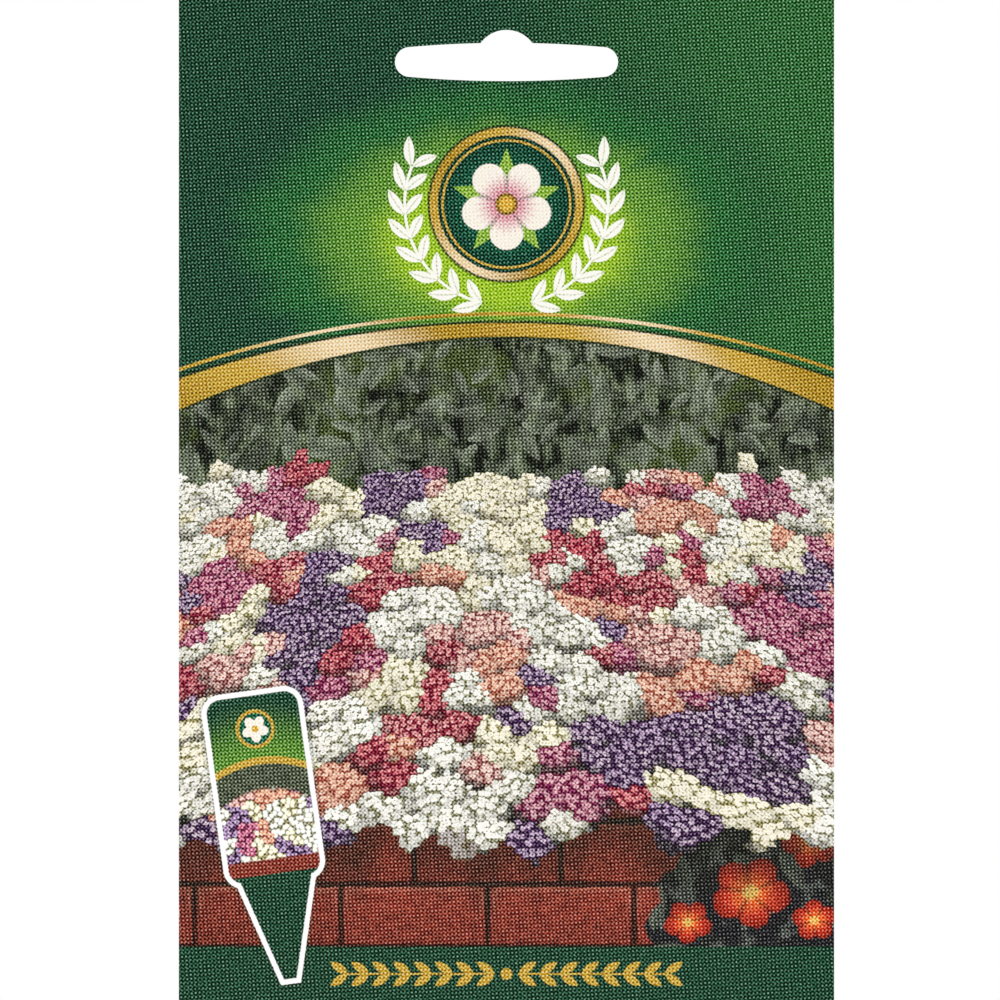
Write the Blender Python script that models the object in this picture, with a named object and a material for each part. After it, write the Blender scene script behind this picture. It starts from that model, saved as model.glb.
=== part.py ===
"""A printed paper seed packet: a flat bag folded from one sheet, with a header punched for a display peg.

The bag hangs upright. The front faces -Y and +Z is up. The origin is the point where a peg bears: the
middle of the hang slot's raised top edge, halfway between the front and back layers. Lengths are in metres.

The sheet's net is one piece: a glue flap, the front, the back panel, and a bottom flap under the front. Its
left and right edges fold behind, the back panel is glued over the glue flap, and the bottom flap is folded
up over both and glued. A band of glue across the header closes the bag. Inside lie a plant label and a sealed
sachet of seeds.
"""

import math
import random

import bmesh
import bpy
from mathutils import Matrix, Vector

MM = 0.001

# The bag
BAG_WIDTH = 94 * MM
BAG_HEIGHT = 144 * MM
PAPER = 0.15 * MM  # one layer
GLUE = 0.10 * MM  # a dried glue film
CLEAR = 0.05 * MM  # between a glue film and the paper on each side of it
LAYER_PITCH = PAPER + GLUE + 2 * CLEAR  # from the middle of one glued layer to the next

# The hang slot, round its own centre
SLOT_WIDTH = 32 * MM
SLOT_MIDDLE_HALF = 2.75 * MM  # half its height at the middle
SLOT_END_HALF = 2.15 * MM  # half its height where the round ends begin
PEG_BUMP_RADIUS = 4.6 * MM  # the raised middle, which centres the peg
SLOT_FROM_TOP = 9.1 * MM  # the slot's centre below the top edge

# Heights up the bag
SLOT_Z = -PEG_BUMP_RADIUS
TOP = SLOT_Z + SLOT_FROM_TOP
FOOT = TOP - BAG_HEIGHT
POUCH_TOP = -20 * MM  # the header's two layers part below this

# How far each side of the pouch is pushed out by what it holds, and over what run from its edges
FRONT_BULGE = 1.5 * MM
BACK_BULGE = 1.3 * MM
SIDE_RUN = 24 * MM
END_RUN = 22 * MM

# Flaps on the back
GLUE_FLAP = 10 * MM  # from the left fold
SIDE_SEAM = 7 * MM  # how far the back panel laps over the glue flap
SEAM_STEP = 3 * MM  # the run over which the back panel steps up onto the glue flap
BOTTOM_FLAP = 13 * MM
BOTTOM_FLAP_INSET = 1.5 * MM  # its fold ends this far from the bag's side folds
BOTTOM_FLAP_TAPER = 0.25  # how far each end slopes in for each unit of height

# The glue films
FILM_INSET = 1.2 * MM  # a film stops this far inside the edges that it joins
SEAM_FILM_ENDS = 2 * MM  # the side seam's film stops this far from the bag's top and foot
BOTTOM_FILM = (4 * MM, 10 * MM)  # heights of the bottom flap's film over the foot
HEADER_FILM = (-17.5 * MM, -10.5 * MM)  # heights of the film that closes the header

# The plant label
LABEL_WIDTH = 29 * MM
LABEL_LENGTH = 96 * MM
LABEL_HEAD = 53 * MM
LABEL_SHOULDER = 2.2 * MM
LABEL_CORNER = 3 * MM
LABEL_TIP = 1.6 * MM  # half the width of the blunt tip
LABEL_THICK = 0.3 * MM
LABEL_X = 16 * MM
LABEL_TOP = -33 * MM
LABEL_FRONT = -1.0 * MM

# The sachet
SACHET_WIDTH = 60 * MM
SACHET_HEIGHT = 78 * MM
SACHET_SEAL = 6 * MM
SACHET_POCKET = 0.75 * MM  # how far each foil stands out from the seal
SACHET_SIDE_RUN = 12 * MM
SACHET_END_RUN = 14 * MM
SACHET_TOOTH = 1.2 * MM
FOIL = 0.10 * MM
FOIL_GAP = 0.10 * MM
SACHET_CENTRE = Vector((-5 * MM, 0.35 * MM, -84 * MM))

# The seeds
SEED_COUNT = 84
SEED_HALF = Vector((0.9 * MM, 0.3 * MM, 0.58 * MM))
SEED_TILT = 0.12  # radians either way
HEAP_HALF = Vector((15 * MM, 0.36 * MM, 14 * MM))
HEAP_DROP = 13 * MM  # the seeds settle low in the sachet
HEAP_REACH = 0.93  # the outermost seed's share of the way to the heap's edge

# Mesh steps
COLUMN_STEP = 5.2 * MM
ROW_STEP = 6 * MM
SLOT_STEP = 2.5 * MM
TOOTH_STEP = 4 * MM
FOLD_STEPS = 4
BUMP_STEPS = 20
END_STEPS = 8
CORNER_STEPS = 4

# Worked out from the above
HALF_WIDTH = BAG_WIDTH / 2
FOLD_RADIUS = LAYER_PITCH / 2
FLAT_HALF = HALF_WIDTH - PAPER / 2 - FOLD_RADIUS  # where the flat panels meet the side folds
FLAP_EDGE = -HALF_WIDTH + GLUE_FLAP  # the glue flap's free edge
SEAM_EDGE = FLAP_EDGE - SIDE_SEAM  # the back panel's free edge
STEP_TOP = FLAP_EDGE + PAPER  # the back panel's step up onto the glue flap ends here
STEP_FOOT = STEP_TOP + SEAM_STEP
BOTTOM_FLAP_END = HALF_WIDTH - BOTTOM_FLAP_INSET
SLOT_REACH = SLOT_WIDTH / 2 - SLOT_END_HALF  # from the slot's centre to the centre of each round end


def clear_scene():
    """Removes whatever the scene holds."""
    for old in list(bpy.data.objects):
        bpy.data.objects.remove(old, do_unlink=True)


def finish_of(name, colour, roughness, metallic=0.0):
    """A plain Principled material."""
    material = bpy.data.materials.new(name)
    material.use_nodes = True
    shader = material.node_tree.nodes["Principled BSDF"]
    shader.inputs["Base Color"].default_value = (*colour, 1.0)
    shader.inputs["Roughness"].default_value = roughness
    shader.inputs["Metallic"].default_value = metallic
    return material


def object_from(name, mesh, material):
    """Links a mesh to the scene as the named object."""
    made = bpy.data.objects.new(name, mesh)
    bpy.context.scene.collection.objects.link(made)
    mesh.materials.append(material)
    return made


def mesh_from(name, bm):
    """Turns a finished bmesh into a smooth-shaded mesh with sharp folds."""
    mesh = bpy.data.meshes.new(name)
    bm.to_mesh(mesh)
    bm.free()
    mesh.shade_smooth()
    mesh.set_sharp_from_angle(angle=math.radians(30))
    return mesh


def spaced(low, high, step):
    """Even places from low to high, both included, no further apart than step."""
    count = max(1, math.ceil(abs(high - low) / step))
    return [low + (high - low) * i / count for i in range(count + 1)]


def between(places, low, high):
    """Low, then the places that lie between, then high, so that layers one over another bend alike."""
    return [low] + [p for p in places if low < p < high] + [high]


def ease(distance, run):
    """0 at an edge and 1 past the run, levelling off as it gets there."""
    share = min(max(distance / run, 0.0), 1.0)
    return 1.0 - (1.0 - share) ** 2


def smooth(value, start, end):
    """0 before start, 1 past end, with a soft S between."""
    share = min(max((value - start) / (end - start), 0.0), 1.0)
    return share * share * (3.0 - 2.0 * share)


def fullness(x, z):
    """How full the pouch is at a place, from 0 at its edges to 1 in the middle."""
    return ease(HALF_WIDTH - abs(x), SIDE_RUN) * ease(min(POUCH_TOP - z, z - FOOT), END_RUN)


def front_y(x, z):
    """The front layer's middle surface."""
    return -FOLD_RADIUS - FRONT_BULGE * fullness(x, z)


def inner_back_y(x, z):
    """The back layer's middle surface, where it lies directly behind the front."""
    return FOLD_RADIUS + BACK_BULGE * fullness(x, z)


def back_panel_y(x, z):
    """The back panel's middle surface, which steps up where it laps over the glue flap."""
    return inner_back_y(x, z) + LAYER_PITCH * smooth(x, STEP_FOOT, STEP_TOP)


def bottom_flap_y(x, z):
    """The bottom flap's middle surface, one layer outside the back panel."""
    return back_panel_y(x, z) + LAYER_PITCH


def fold_point(side, turn, z):
    """A point round a side fold. Side is -1 or 1, and turn runs from 0 at the front to 1 at the back."""
    angle = math.pi * turn
    return Vector((side * (FLAT_HALF + FOLD_RADIUS * math.sin(angle)), -FOLD_RADIUS * math.cos(angle), z))


def wrap_rows():
    """Heights of the wrap's rows. The pouch has even rows, and the flat header only a few."""
    return spaced(FOOT + FOLD_RADIUS + PAPER / 2, POUCH_TOP, ROW_STEP) + [TOP]


def across():
    """Places across the front and back, with one at each end of the bottom flap and three on the step."""
    left = spaced(-BOTTOM_FLAP_END, STEP_TOP, COLUMN_STEP)
    return left + [(STEP_TOP + STEP_FOOT) / 2] + spaced(STEP_FOOT, BOTTOM_FLAP_END, COLUMN_STEP)


def wrap_lines(z):
    """One row of the wrap: from the glue flap's edge, round the front, to the back panel's edge."""
    columns = across()
    flap = reversed(between(columns, -FLAT_HALF, FLAP_EDGE))
    points = [Vector((x, inner_back_y(x, z), z)) for x in flap]
    points += [fold_point(-1, 1 - i / FOLD_STEPS, z) for i in range(1, FOLD_STEPS)]
    points += [Vector((x, front_y(x, z), z)) for x in between(columns, -FLAT_HALF, FLAT_HALF)]
    points += [fold_point(1, i / FOLD_STEPS, z) for i in range(1, FOLD_STEPS)]
    panel = reversed(between(columns, SEAM_EDGE, FLAT_HALF))
    return points + [Vector((x, back_panel_y(x, z), z)) for x in panel]


def stitch(bm, lower, upper):
    """Fills the strip between two rows of vertices with four-sided faces."""
    for i in range(len(lower) - 1):
        bm.faces.new((lower[i], lower[i + 1], upper[i + 1], upper[i]))


def bottom_fold_lines(fold_row):
    """Rows of points round the bottom fold, from the front's lowest row to the bottom flap's level."""
    lines = []
    for i in range(1, FOLD_STEPS + 1):
        turn = math.pi * i / FOLD_STEPS
        line = []
        for start in fold_row:
            radius = (bottom_flap_y(start.x, start.z) - start.y) / 2
            y = start.y + radius * (1 - math.cos(turn))
            line.append(Vector((start.x, y, start.z - FOLD_RADIUS * math.sin(turn))))
        lines.append(line)
    return lines


def bottom_flap_lines(fold_row):
    """Rows of points up the bottom flap, whose ends slope in."""
    lines = []
    for height in spaced(0, BOTTOM_FLAP, COLUMN_STEP)[1:]:
        end = BOTTOM_FLAP_END - BOTTOM_FLAP_TAPER * height
        z = fold_row[0].z + height
        xs = [max(-end, min(end, start.x)) for start in fold_row]
        lines.append([Vector((x, bottom_flap_y(x, z), z)) for x in xs])
    return lines


def add_bottom_flap(bm, row):
    """Carries the front on round the bottom fold and up behind, as the bottom flap."""
    fold_row = [vertex.co.copy() for vertex in row]
    for line in bottom_fold_lines(fold_row) + bottom_flap_lines(fold_row):
        following = [bm.verts.new(point) for point in line]
        stitch(bm, following, row)
        row = following


def slot_edge(x):
    """Half the slot's height at x without its bump: a shallow barrel."""
    return SLOT_MIDDLE_HALF - (SLOT_MIDDLE_HALF - SLOT_END_HALF) * (x / SLOT_REACH) ** 2


def slot_top(x):
    """Height of the slot's upper edge over its centre line at x."""
    if abs(x) >= PEG_BUMP_RADIUS:
        return slot_edge(x)
    return max(slot_edge(x), math.sqrt(PEG_BUMP_RADIUS**2 - x * x))


def slot_end(side):
    """Points round one of the slot's ends. Side is -1 or 1."""
    points = []
    for i in range(1, END_STEPS):
        angle = math.pi * (i / END_STEPS - 0.5)
        x = SLOT_REACH + SLOT_END_HALF * math.cos(angle)
        points.append((side * x, side * SLOT_END_HALF * math.sin(angle)))
    return points


def slot_outline():
    """The slot's outline round its centre, going anticlockwise as seen from the front."""
    corner = math.sqrt(PEG_BUMP_RADIUS**2 - SLOT_MIDDLE_HALF**2)  # where the bump meets the barrel
    half = BUMP_STEPS // 2
    bump = [corner * math.sin(math.pi / 2 * i / half) for i in range(-half, half + 1)]
    shoulder = spaced(corner, SLOT_REACH, SLOT_STEP)[1:]
    upper = [-x for x in reversed(shoulder)] + bump + shoulder
    top = [(x, slot_top(x)) for x in reversed(upper)]
    bottom = [(x, -slot_edge(x)) for x in spaced(-SLOT_REACH, SLOT_REACH, SLOT_STEP)]
    return bottom + slot_end(1) + top + slot_end(-1)


def make_prism(name, outline, front, depth, material):
    """A closed prism whose outline of (x, z) points lies at y = front and reaches back by depth."""
    bm = bmesh.new()
    face = bm.faces.new([bm.verts.new((x, front, z)) for x, z in outline])
    grown = bmesh.ops.extrude_face_region(bm, geom=[face])
    moved = [part for part in grown["geom"] if isinstance(part, bmesh.types.BMVert)]
    bmesh.ops.translate(bm, verts=moved, vec=(0, depth, 0))
    bmesh.ops.recalc_face_normals(bm, faces=bm.faces)
    return object_from(name, mesh_from(name, bm), material)


def make_slot_cutter():
    """A prism through every layer at the hang slot."""
    outline = [(x, SLOT_Z + z) for x, z in slot_outline()]
    reach = 5 * MM
    cutter = make_prism("slot_cutter", outline, -reach, 2 * reach, finish_of("cutter", (1, 0, 0), 0.5))
    cutter.hide_render = True
    cutter.display_type = "WIRE"
    return cutter


def make_bag():
    """The folded sheet with its flaps, given its paper thickness, then punched for the peg."""
    bm = bmesh.new()
    rows = [[bm.verts.new(point) for point in wrap_lines(z)] for z in wrap_rows()]
    for lower, upper in zip(rows, rows[1:]):
        stitch(bm, lower, upper)
    flap_end = (BOTTOM_FLAP_END + FLAT_HALF) / 2
    add_bottom_flap(bm, [vertex for vertex in rows[0] if vertex.co.y < 0 and abs(vertex.co.x) < flap_end])
    paper = finish_of("printed_paper", (0.02, 0.19, 0.10), 0.5)
    bag = object_from("bag_sheet", mesh_from("bag_sheet", bm), paper)
    wall = bag.modifiers.new("Paper", "SOLIDIFY")
    wall.thickness = PAPER
    wall.offset = 0
    wall.use_even_offset = True
    punch = bag.modifiers.new("Hang slot", "BOOLEAN")
    punch.object = make_slot_cutter()
    punch.operation = "DIFFERENCE"
    punch.solver = "EXACT"


def make_slab(name, lines, thickness, material):
    """A thin closed slab whose front surface goes through the rows of points in lines."""
    bm = bmesh.new()
    front = [[bm.verts.new(point) for point in line] for line in lines]
    back = [[bm.verts.new(point + Vector((0, thickness, 0))) for point in line] for line in lines]
    for lower, upper in zip(front, front[1:]):
        stitch(bm, lower, upper)
    for lower, upper in zip(back, back[1:]):
        stitch(bm, upper, lower)
    stitch(bm, back[0], front[0])
    stitch(bm, front[-1], back[-1])
    stitch(bm, [line[0] for line in front], [line[0] for line in back])
    stitch(bm, [line[-1] for line in back], [line[-1] for line in front])
    bmesh.ops.recalc_face_normals(bm, faces=bm.faces)
    return object_from(name, mesh_from(name, bm), material)


def make_glue_films():
    """The three dried glue films: up the side seam, under the bottom flap and across the header."""
    glue = finish_of("dried_glue", (0.78, 0.70, 0.50), 0.35)
    rise = PAPER / 2 + CLEAR  # from a layer's middle surface to the film on it

    def film(name, xs, zs, below):
        lines = [[Vector((x, below(x, z) + rise, z)) for x in xs] for z in zs]
        make_slab(name, lines, GLUE, glue)

    columns = across()
    rows = wrap_rows()
    seam = between(columns, SEAM_EDGE + FILM_INSET, FLAP_EDGE - FILM_INSET)
    film("side_seam_glue", seam, between(rows, FOOT + SEAM_FILM_ENDS, TOP - SEAM_FILM_ENDS), inner_back_y)
    flap = between(columns, SEAM_EDGE + FILM_INSET, BOTTOM_FLAP_END - BOTTOM_FLAP / 2)
    film("bottom_flap_glue", flap, between(rows, FOOT + BOTTOM_FILM[0], FOOT + BOTTOM_FILM[1]), back_panel_y)
    header = [FILM_INSET - FLAT_HALF, FLAT_HALF - FILM_INSET]
    film("header_glue", header, HEADER_FILM, front_y)


def label_side():
    """The right-hand half of the plant label's outline: round corner, stepped shoulder and tapered point."""
    half = LABEL_WIDTH / 2
    points = []
    for i in range(CORNER_STEPS + 1):
        angle = math.pi / 2 * i / CORNER_STEPS
        x = half - LABEL_CORNER * (1 - math.sin(angle))
        points.append((x, LABEL_TOP - LABEL_CORNER * (1 - math.cos(angle))))
    shoulder_z = LABEL_TOP - LABEL_HEAD
    points.append((half, shoulder_z))
    points.append((half - LABEL_SHOULDER, shoulder_z - LABEL_SHOULDER))
    points.append((LABEL_TIP, LABEL_TOP - LABEL_LENGTH))
    return points


def make_label():
    """The plant label that lies in the bag, between the front and the sachet."""
    right = [(LABEL_X + x, z) for x, z in label_side()]
    left = [(LABEL_X - x, z) for x, z in reversed(label_side())]
    board = finish_of("label_board", (0.85, 0.86, 0.82), 0.5)
    make_prism("plant_label", right + left, LABEL_FRONT, LABEL_THICK, board)


def pocket(x, z):
    """How far a foil stands out from the seal, from 0 at the seal to 1 in the pocket's middle."""
    from_side = SACHET_WIDTH / 2 - SACHET_SEAL - abs(x)
    from_end = SACHET_HEIGHT / 2 - SACHET_SEAL - abs(z)
    return ease(from_side, SACHET_SIDE_RUN) * ease(from_end, SACHET_END_RUN)


def sealed(half, step):
    """Places across the sachet, from edge to edge, with one at each seal's inner edge."""
    inner = half - SACHET_SEAL
    return [-half, *spaced(-inner, inner, step), half]


def make_foil(name, front, side, material):
    """One of the sachet's foils. Side is -1 for the one that bulges forwards and 1 for the other."""
    lines = []
    for z in sealed(SACHET_HEIGHT / 2, ROW_STEP):
        at_end = abs(z) == SACHET_HEIGHT / 2
        line = []
        for column, x in enumerate(sealed(SACHET_WIDTH / 2, TOOTH_STEP)):
            pinked = at_end and column % 2
            notch = math.copysign(SACHET_TOOTH, z) if pinked else 0.0
            line.append(SACHET_CENTRE + Vector((x, front + side * SACHET_POCKET * pocket(x, z), z - notch)))
        lines.append(line)
    make_slab(name, lines, FOIL, material)


def make_sachet():
    """The inner sachet's two foils, sealed together round the edge, with pinked ends."""
    foil = finish_of("sachet_foil", (0.80, 0.82, 0.80), 0.35, 0.6)
    make_foil("sachet_front_foil", -FOIL_GAP / 2 - FOIL, -1, foil)
    make_foil("sachet_back_foil", FOIL_GAP / 2, 1, foil)


def make_seed(position, turn, tilt):
    """One flattened oval seed."""
    bm = bmesh.new()
    bmesh.ops.create_uvsphere(bm, u_segments=6, v_segments=4, radius=1.0)
    shape = Matrix.Rotation(turn, 4, "Y") @ Matrix.Rotation(tilt, 4, "X") @ Matrix.Diagonal((*SEED_HALF, 1))
    bmesh.ops.transform(bm, matrix=Matrix.Translation(position) @ shape, verts=bm.verts)
    mesh = bpy.data.meshes.new("seed")
    bm.to_mesh(mesh)
    bm.free()
    return bpy.data.objects.new("seed", mesh)


def make_heap(centre):
    """The thin lens that the seeds stand out of."""
    bm = bmesh.new()
    bmesh.ops.create_uvsphere(bm, u_segments=20, v_segments=8, radius=1.0)
    shape = Matrix.Translation(centre) @ Matrix.Diagonal((*HEAP_HALF, 1))
    bmesh.ops.transform(bm, matrix=shape, verts=bm.verts)
    return object_from("seeds", mesh_from("seeds", bm), finish_of("seed_coat", (0.42, 0.20, 0.07), 0.6))


def seed_place(index):
    """Where a seed lies on the heap: spread by the golden angle, on the front and the back in turn."""
    side = -1 if index % 2 else 1
    reach = HEAP_REACH * math.sqrt((index + 0.5) / SEED_COUNT)
    angle = math.pi * (3 - math.sqrt(5)) * index
    x = HEAP_HALF.x * reach * math.cos(angle)
    y = HEAP_HALF.y * math.sqrt(1 - reach * reach)
    return Vector((x, side * y, HEAP_HALF.z * reach * math.sin(angle)))


def make_seeds():
    """The seeds, lying in a thin heap low in the sachet and fused into one body."""
    draw = random.Random(7)
    centre = SACHET_CENTRE - Vector((0, 0, HEAP_DROP))
    seeds = make_heap(centre)
    loose = bpy.data.collections.new("loose_seeds")
    bpy.context.scene.collection.children.link(loose)
    for i in range(SEED_COUNT):
        turn = draw.uniform(0, math.pi)
        tilt = draw.uniform(-SEED_TILT, SEED_TILT)
        loose.objects.link(make_seed(centre + seed_place(i), turn, tilt))
    union = seeds.modifiers.new("Seeds", "BOOLEAN")
    union.operation = "UNION"
    union.operand_type = "COLLECTION"
    union.collection = loose
    union.solver = "EXACT"
    with bpy.context.temp_override(object=seeds, active_object=seeds, selected_objects=[seeds]):
        bpy.ops.object.modifier_apply(modifier=union.name)
    for old in list(loose.objects):
        bpy.data.objects.remove(old, do_unlink=True)
    bpy.data.collections.remove(loose)


def main():
    """Builds the packet and everything in it."""
    clear_scene()
    make_bag()
    make_glue_films()
    make_label()
    make_sachet()
    make_seeds()


main()
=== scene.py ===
"""The looks of a printed paper seed packet, hung by its punched slot.

The frame gives the packet's real size and place. A finer folded sheet stands for the plain one, the things
inside get their own finishes, and every pattern is worked out by the materials from places in millimetres.
"""

from __future__ import annotations

import logging
import math
from collections.abc import Callable
from dataclasses import dataclass
from dataclasses import field
from enum import Enum

import bmesh
import bpy
import numpy as np
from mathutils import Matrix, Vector

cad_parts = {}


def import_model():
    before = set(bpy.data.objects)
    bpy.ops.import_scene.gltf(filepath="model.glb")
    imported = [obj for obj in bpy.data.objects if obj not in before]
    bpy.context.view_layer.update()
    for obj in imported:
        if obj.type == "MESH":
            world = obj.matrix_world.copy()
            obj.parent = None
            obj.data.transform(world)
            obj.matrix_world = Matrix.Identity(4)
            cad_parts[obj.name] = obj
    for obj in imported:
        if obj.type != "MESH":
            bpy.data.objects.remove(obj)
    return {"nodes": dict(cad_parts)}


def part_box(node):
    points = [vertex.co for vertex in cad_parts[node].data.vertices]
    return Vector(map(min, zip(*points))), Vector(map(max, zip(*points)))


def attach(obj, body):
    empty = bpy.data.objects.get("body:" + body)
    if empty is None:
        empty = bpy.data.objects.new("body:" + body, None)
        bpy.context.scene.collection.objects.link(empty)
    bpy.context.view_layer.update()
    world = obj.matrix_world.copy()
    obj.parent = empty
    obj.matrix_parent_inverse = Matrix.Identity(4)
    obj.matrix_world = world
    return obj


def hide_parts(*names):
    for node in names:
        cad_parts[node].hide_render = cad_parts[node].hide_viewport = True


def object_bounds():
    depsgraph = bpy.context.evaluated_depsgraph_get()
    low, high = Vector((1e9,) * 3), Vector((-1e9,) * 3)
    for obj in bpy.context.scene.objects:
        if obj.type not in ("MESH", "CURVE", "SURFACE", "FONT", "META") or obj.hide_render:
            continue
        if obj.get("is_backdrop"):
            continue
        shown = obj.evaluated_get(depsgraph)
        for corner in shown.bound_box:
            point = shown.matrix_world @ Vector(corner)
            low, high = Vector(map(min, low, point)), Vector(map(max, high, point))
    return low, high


LOG = logging.getLogger("seed_packet")
MM = 0.001
BODY = "root"

Colour = tuple[float, float, float]
Place = tuple[float, float, float]
Stops = list[tuple[float, Colour]]
Area = tuple[float, float, float, float]


def srgb(code: str) -> Colour:
    """Turns a six-digit colour code into linear light.

    Args:
        code: red, green and blue as two hexadecimal digits each.

    Returns:
        The three linear values, from 0 to 1.
    """
    shares = [int(code[i : i + 2], 16) / 255 for i in (0, 2, 4)]
    return tuple(c / 12.92 if c <= 0.04045 else ((c + 0.055) / 1.055) ** 2.4 for c in shares)


def foot_height() -> float:
    """How far the frame's origin is above the packet's foot, in millimetres."""
    low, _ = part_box("bag_sheet")
    return -low.z / MM


def joined(operation: str, turned: bool = False) -> Callable[[Shade, Shade | float | tuple], Shade]:
    """Makes a method of Shade that works on two values.

    Args:
        operation: the node's operation.
        turned: True where the other value comes first.

    Returns:
        The method.
    """

    def method(self: Shade, other: Shade | float | tuple) -> Shade:
        """Puts both values through one node."""
        return self.worked(operation, other, self) if turned else self.worked(operation, self, other)

    return method


def single(operation: str) -> Callable[[Shade], Shade]:
    """Makes a method of Shade that works on its value alone.

    Args:
        operation: the node's operation.

    Returns:
        The method.
    """

    def method(self: Shade) -> Shade:
        """Puts the value through one node."""
        return self.worked(operation, self)

    return method


class Shade:
    """A value in a material, on which Python arithmetic can be written.

    bearing gives the angle, in radians, of a direction whose rise is this value and whose run is the other.
    part is what is left over a whole number, and whole is that number.
    """

    __add__ = joined("ADD")
    __radd__ = joined("ADD", turned=True)
    __sub__ = joined("SUBTRACT")
    __rsub__ = joined("SUBTRACT", turned=True)
    __mul__ = joined("MULTIPLY")
    __rmul__ = joined("MULTIPLY", turned=True)
    __pow__ = joined("POWER")
    __rpow__ = joined("POWER", turned=True)
    __abs__ = single("ABSOLUTE")
    least = joined("MINIMUM")
    most = joined("MAXIMUM")
    bearing = joined("ARCTAN2")
    sin = single("SINE")
    cos = single("COSINE")
    root = single("SQRT")
    part = single("FRACT")
    whole = single("FLOOR")

    def __init__(self, recipe: Recipe, link: bpy.types.NodeSocket) -> None:
        """Keeps the socket and the recipe that it belongs to."""
        self.recipe = recipe
        self.link = link

    def worked(self, operation: str, *values: Shade | float | tuple) -> Shade:
        """Adds one Math node, or one Vector Math node where a value has three parts.

        Args:
            operation: the node's operation.
            values: its inputs, in order.

        Returns:
            The node's result.
        """
        wide = any(isinstance(v, tuple) or isinstance(v, Shade) and v.wide for v in values)
        kind = "ShaderNodeVectorMath" if wide else "ShaderNodeMath"
        return self.recipe.node(kind, {"operation": operation}, dict(enumerate(values)))

    @property
    def wide(self) -> bool:
        """True for a colour or a vector."""
        return self.link.type in ("VECTOR", "RGBA")

    def other(self, output: str) -> Shade:
        """Another output of the node that this value comes from."""
        return Shade(self.recipe, self.link.node.outputs[output])

    def __neg__(self) -> Shade:
        """The value with its sign turned."""
        return self.worked("MULTIPLY", self, -1.0)

    def rise(self, low: Shade | float, high: Shade | float) -> Shade:
        """A mask that goes smoothly from 0 at low to 1 at high. It falls where low is above high."""
        inputs = {"Value": self, "From Min": low, "From Max": high}
        return self.recipe.node("ShaderNodeMapRange", {"interpolation_type": "SMOOTHSTEP"}, inputs)

    def parts(self) -> tuple[Shade, Shade, Shade]:
        """The three parts of a vector or a colour."""
        first = self.recipe.node("ShaderNodeSeparateXYZ", {}, {0: self})
        return first, first.other("Y"), first.other("Z")


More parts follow.
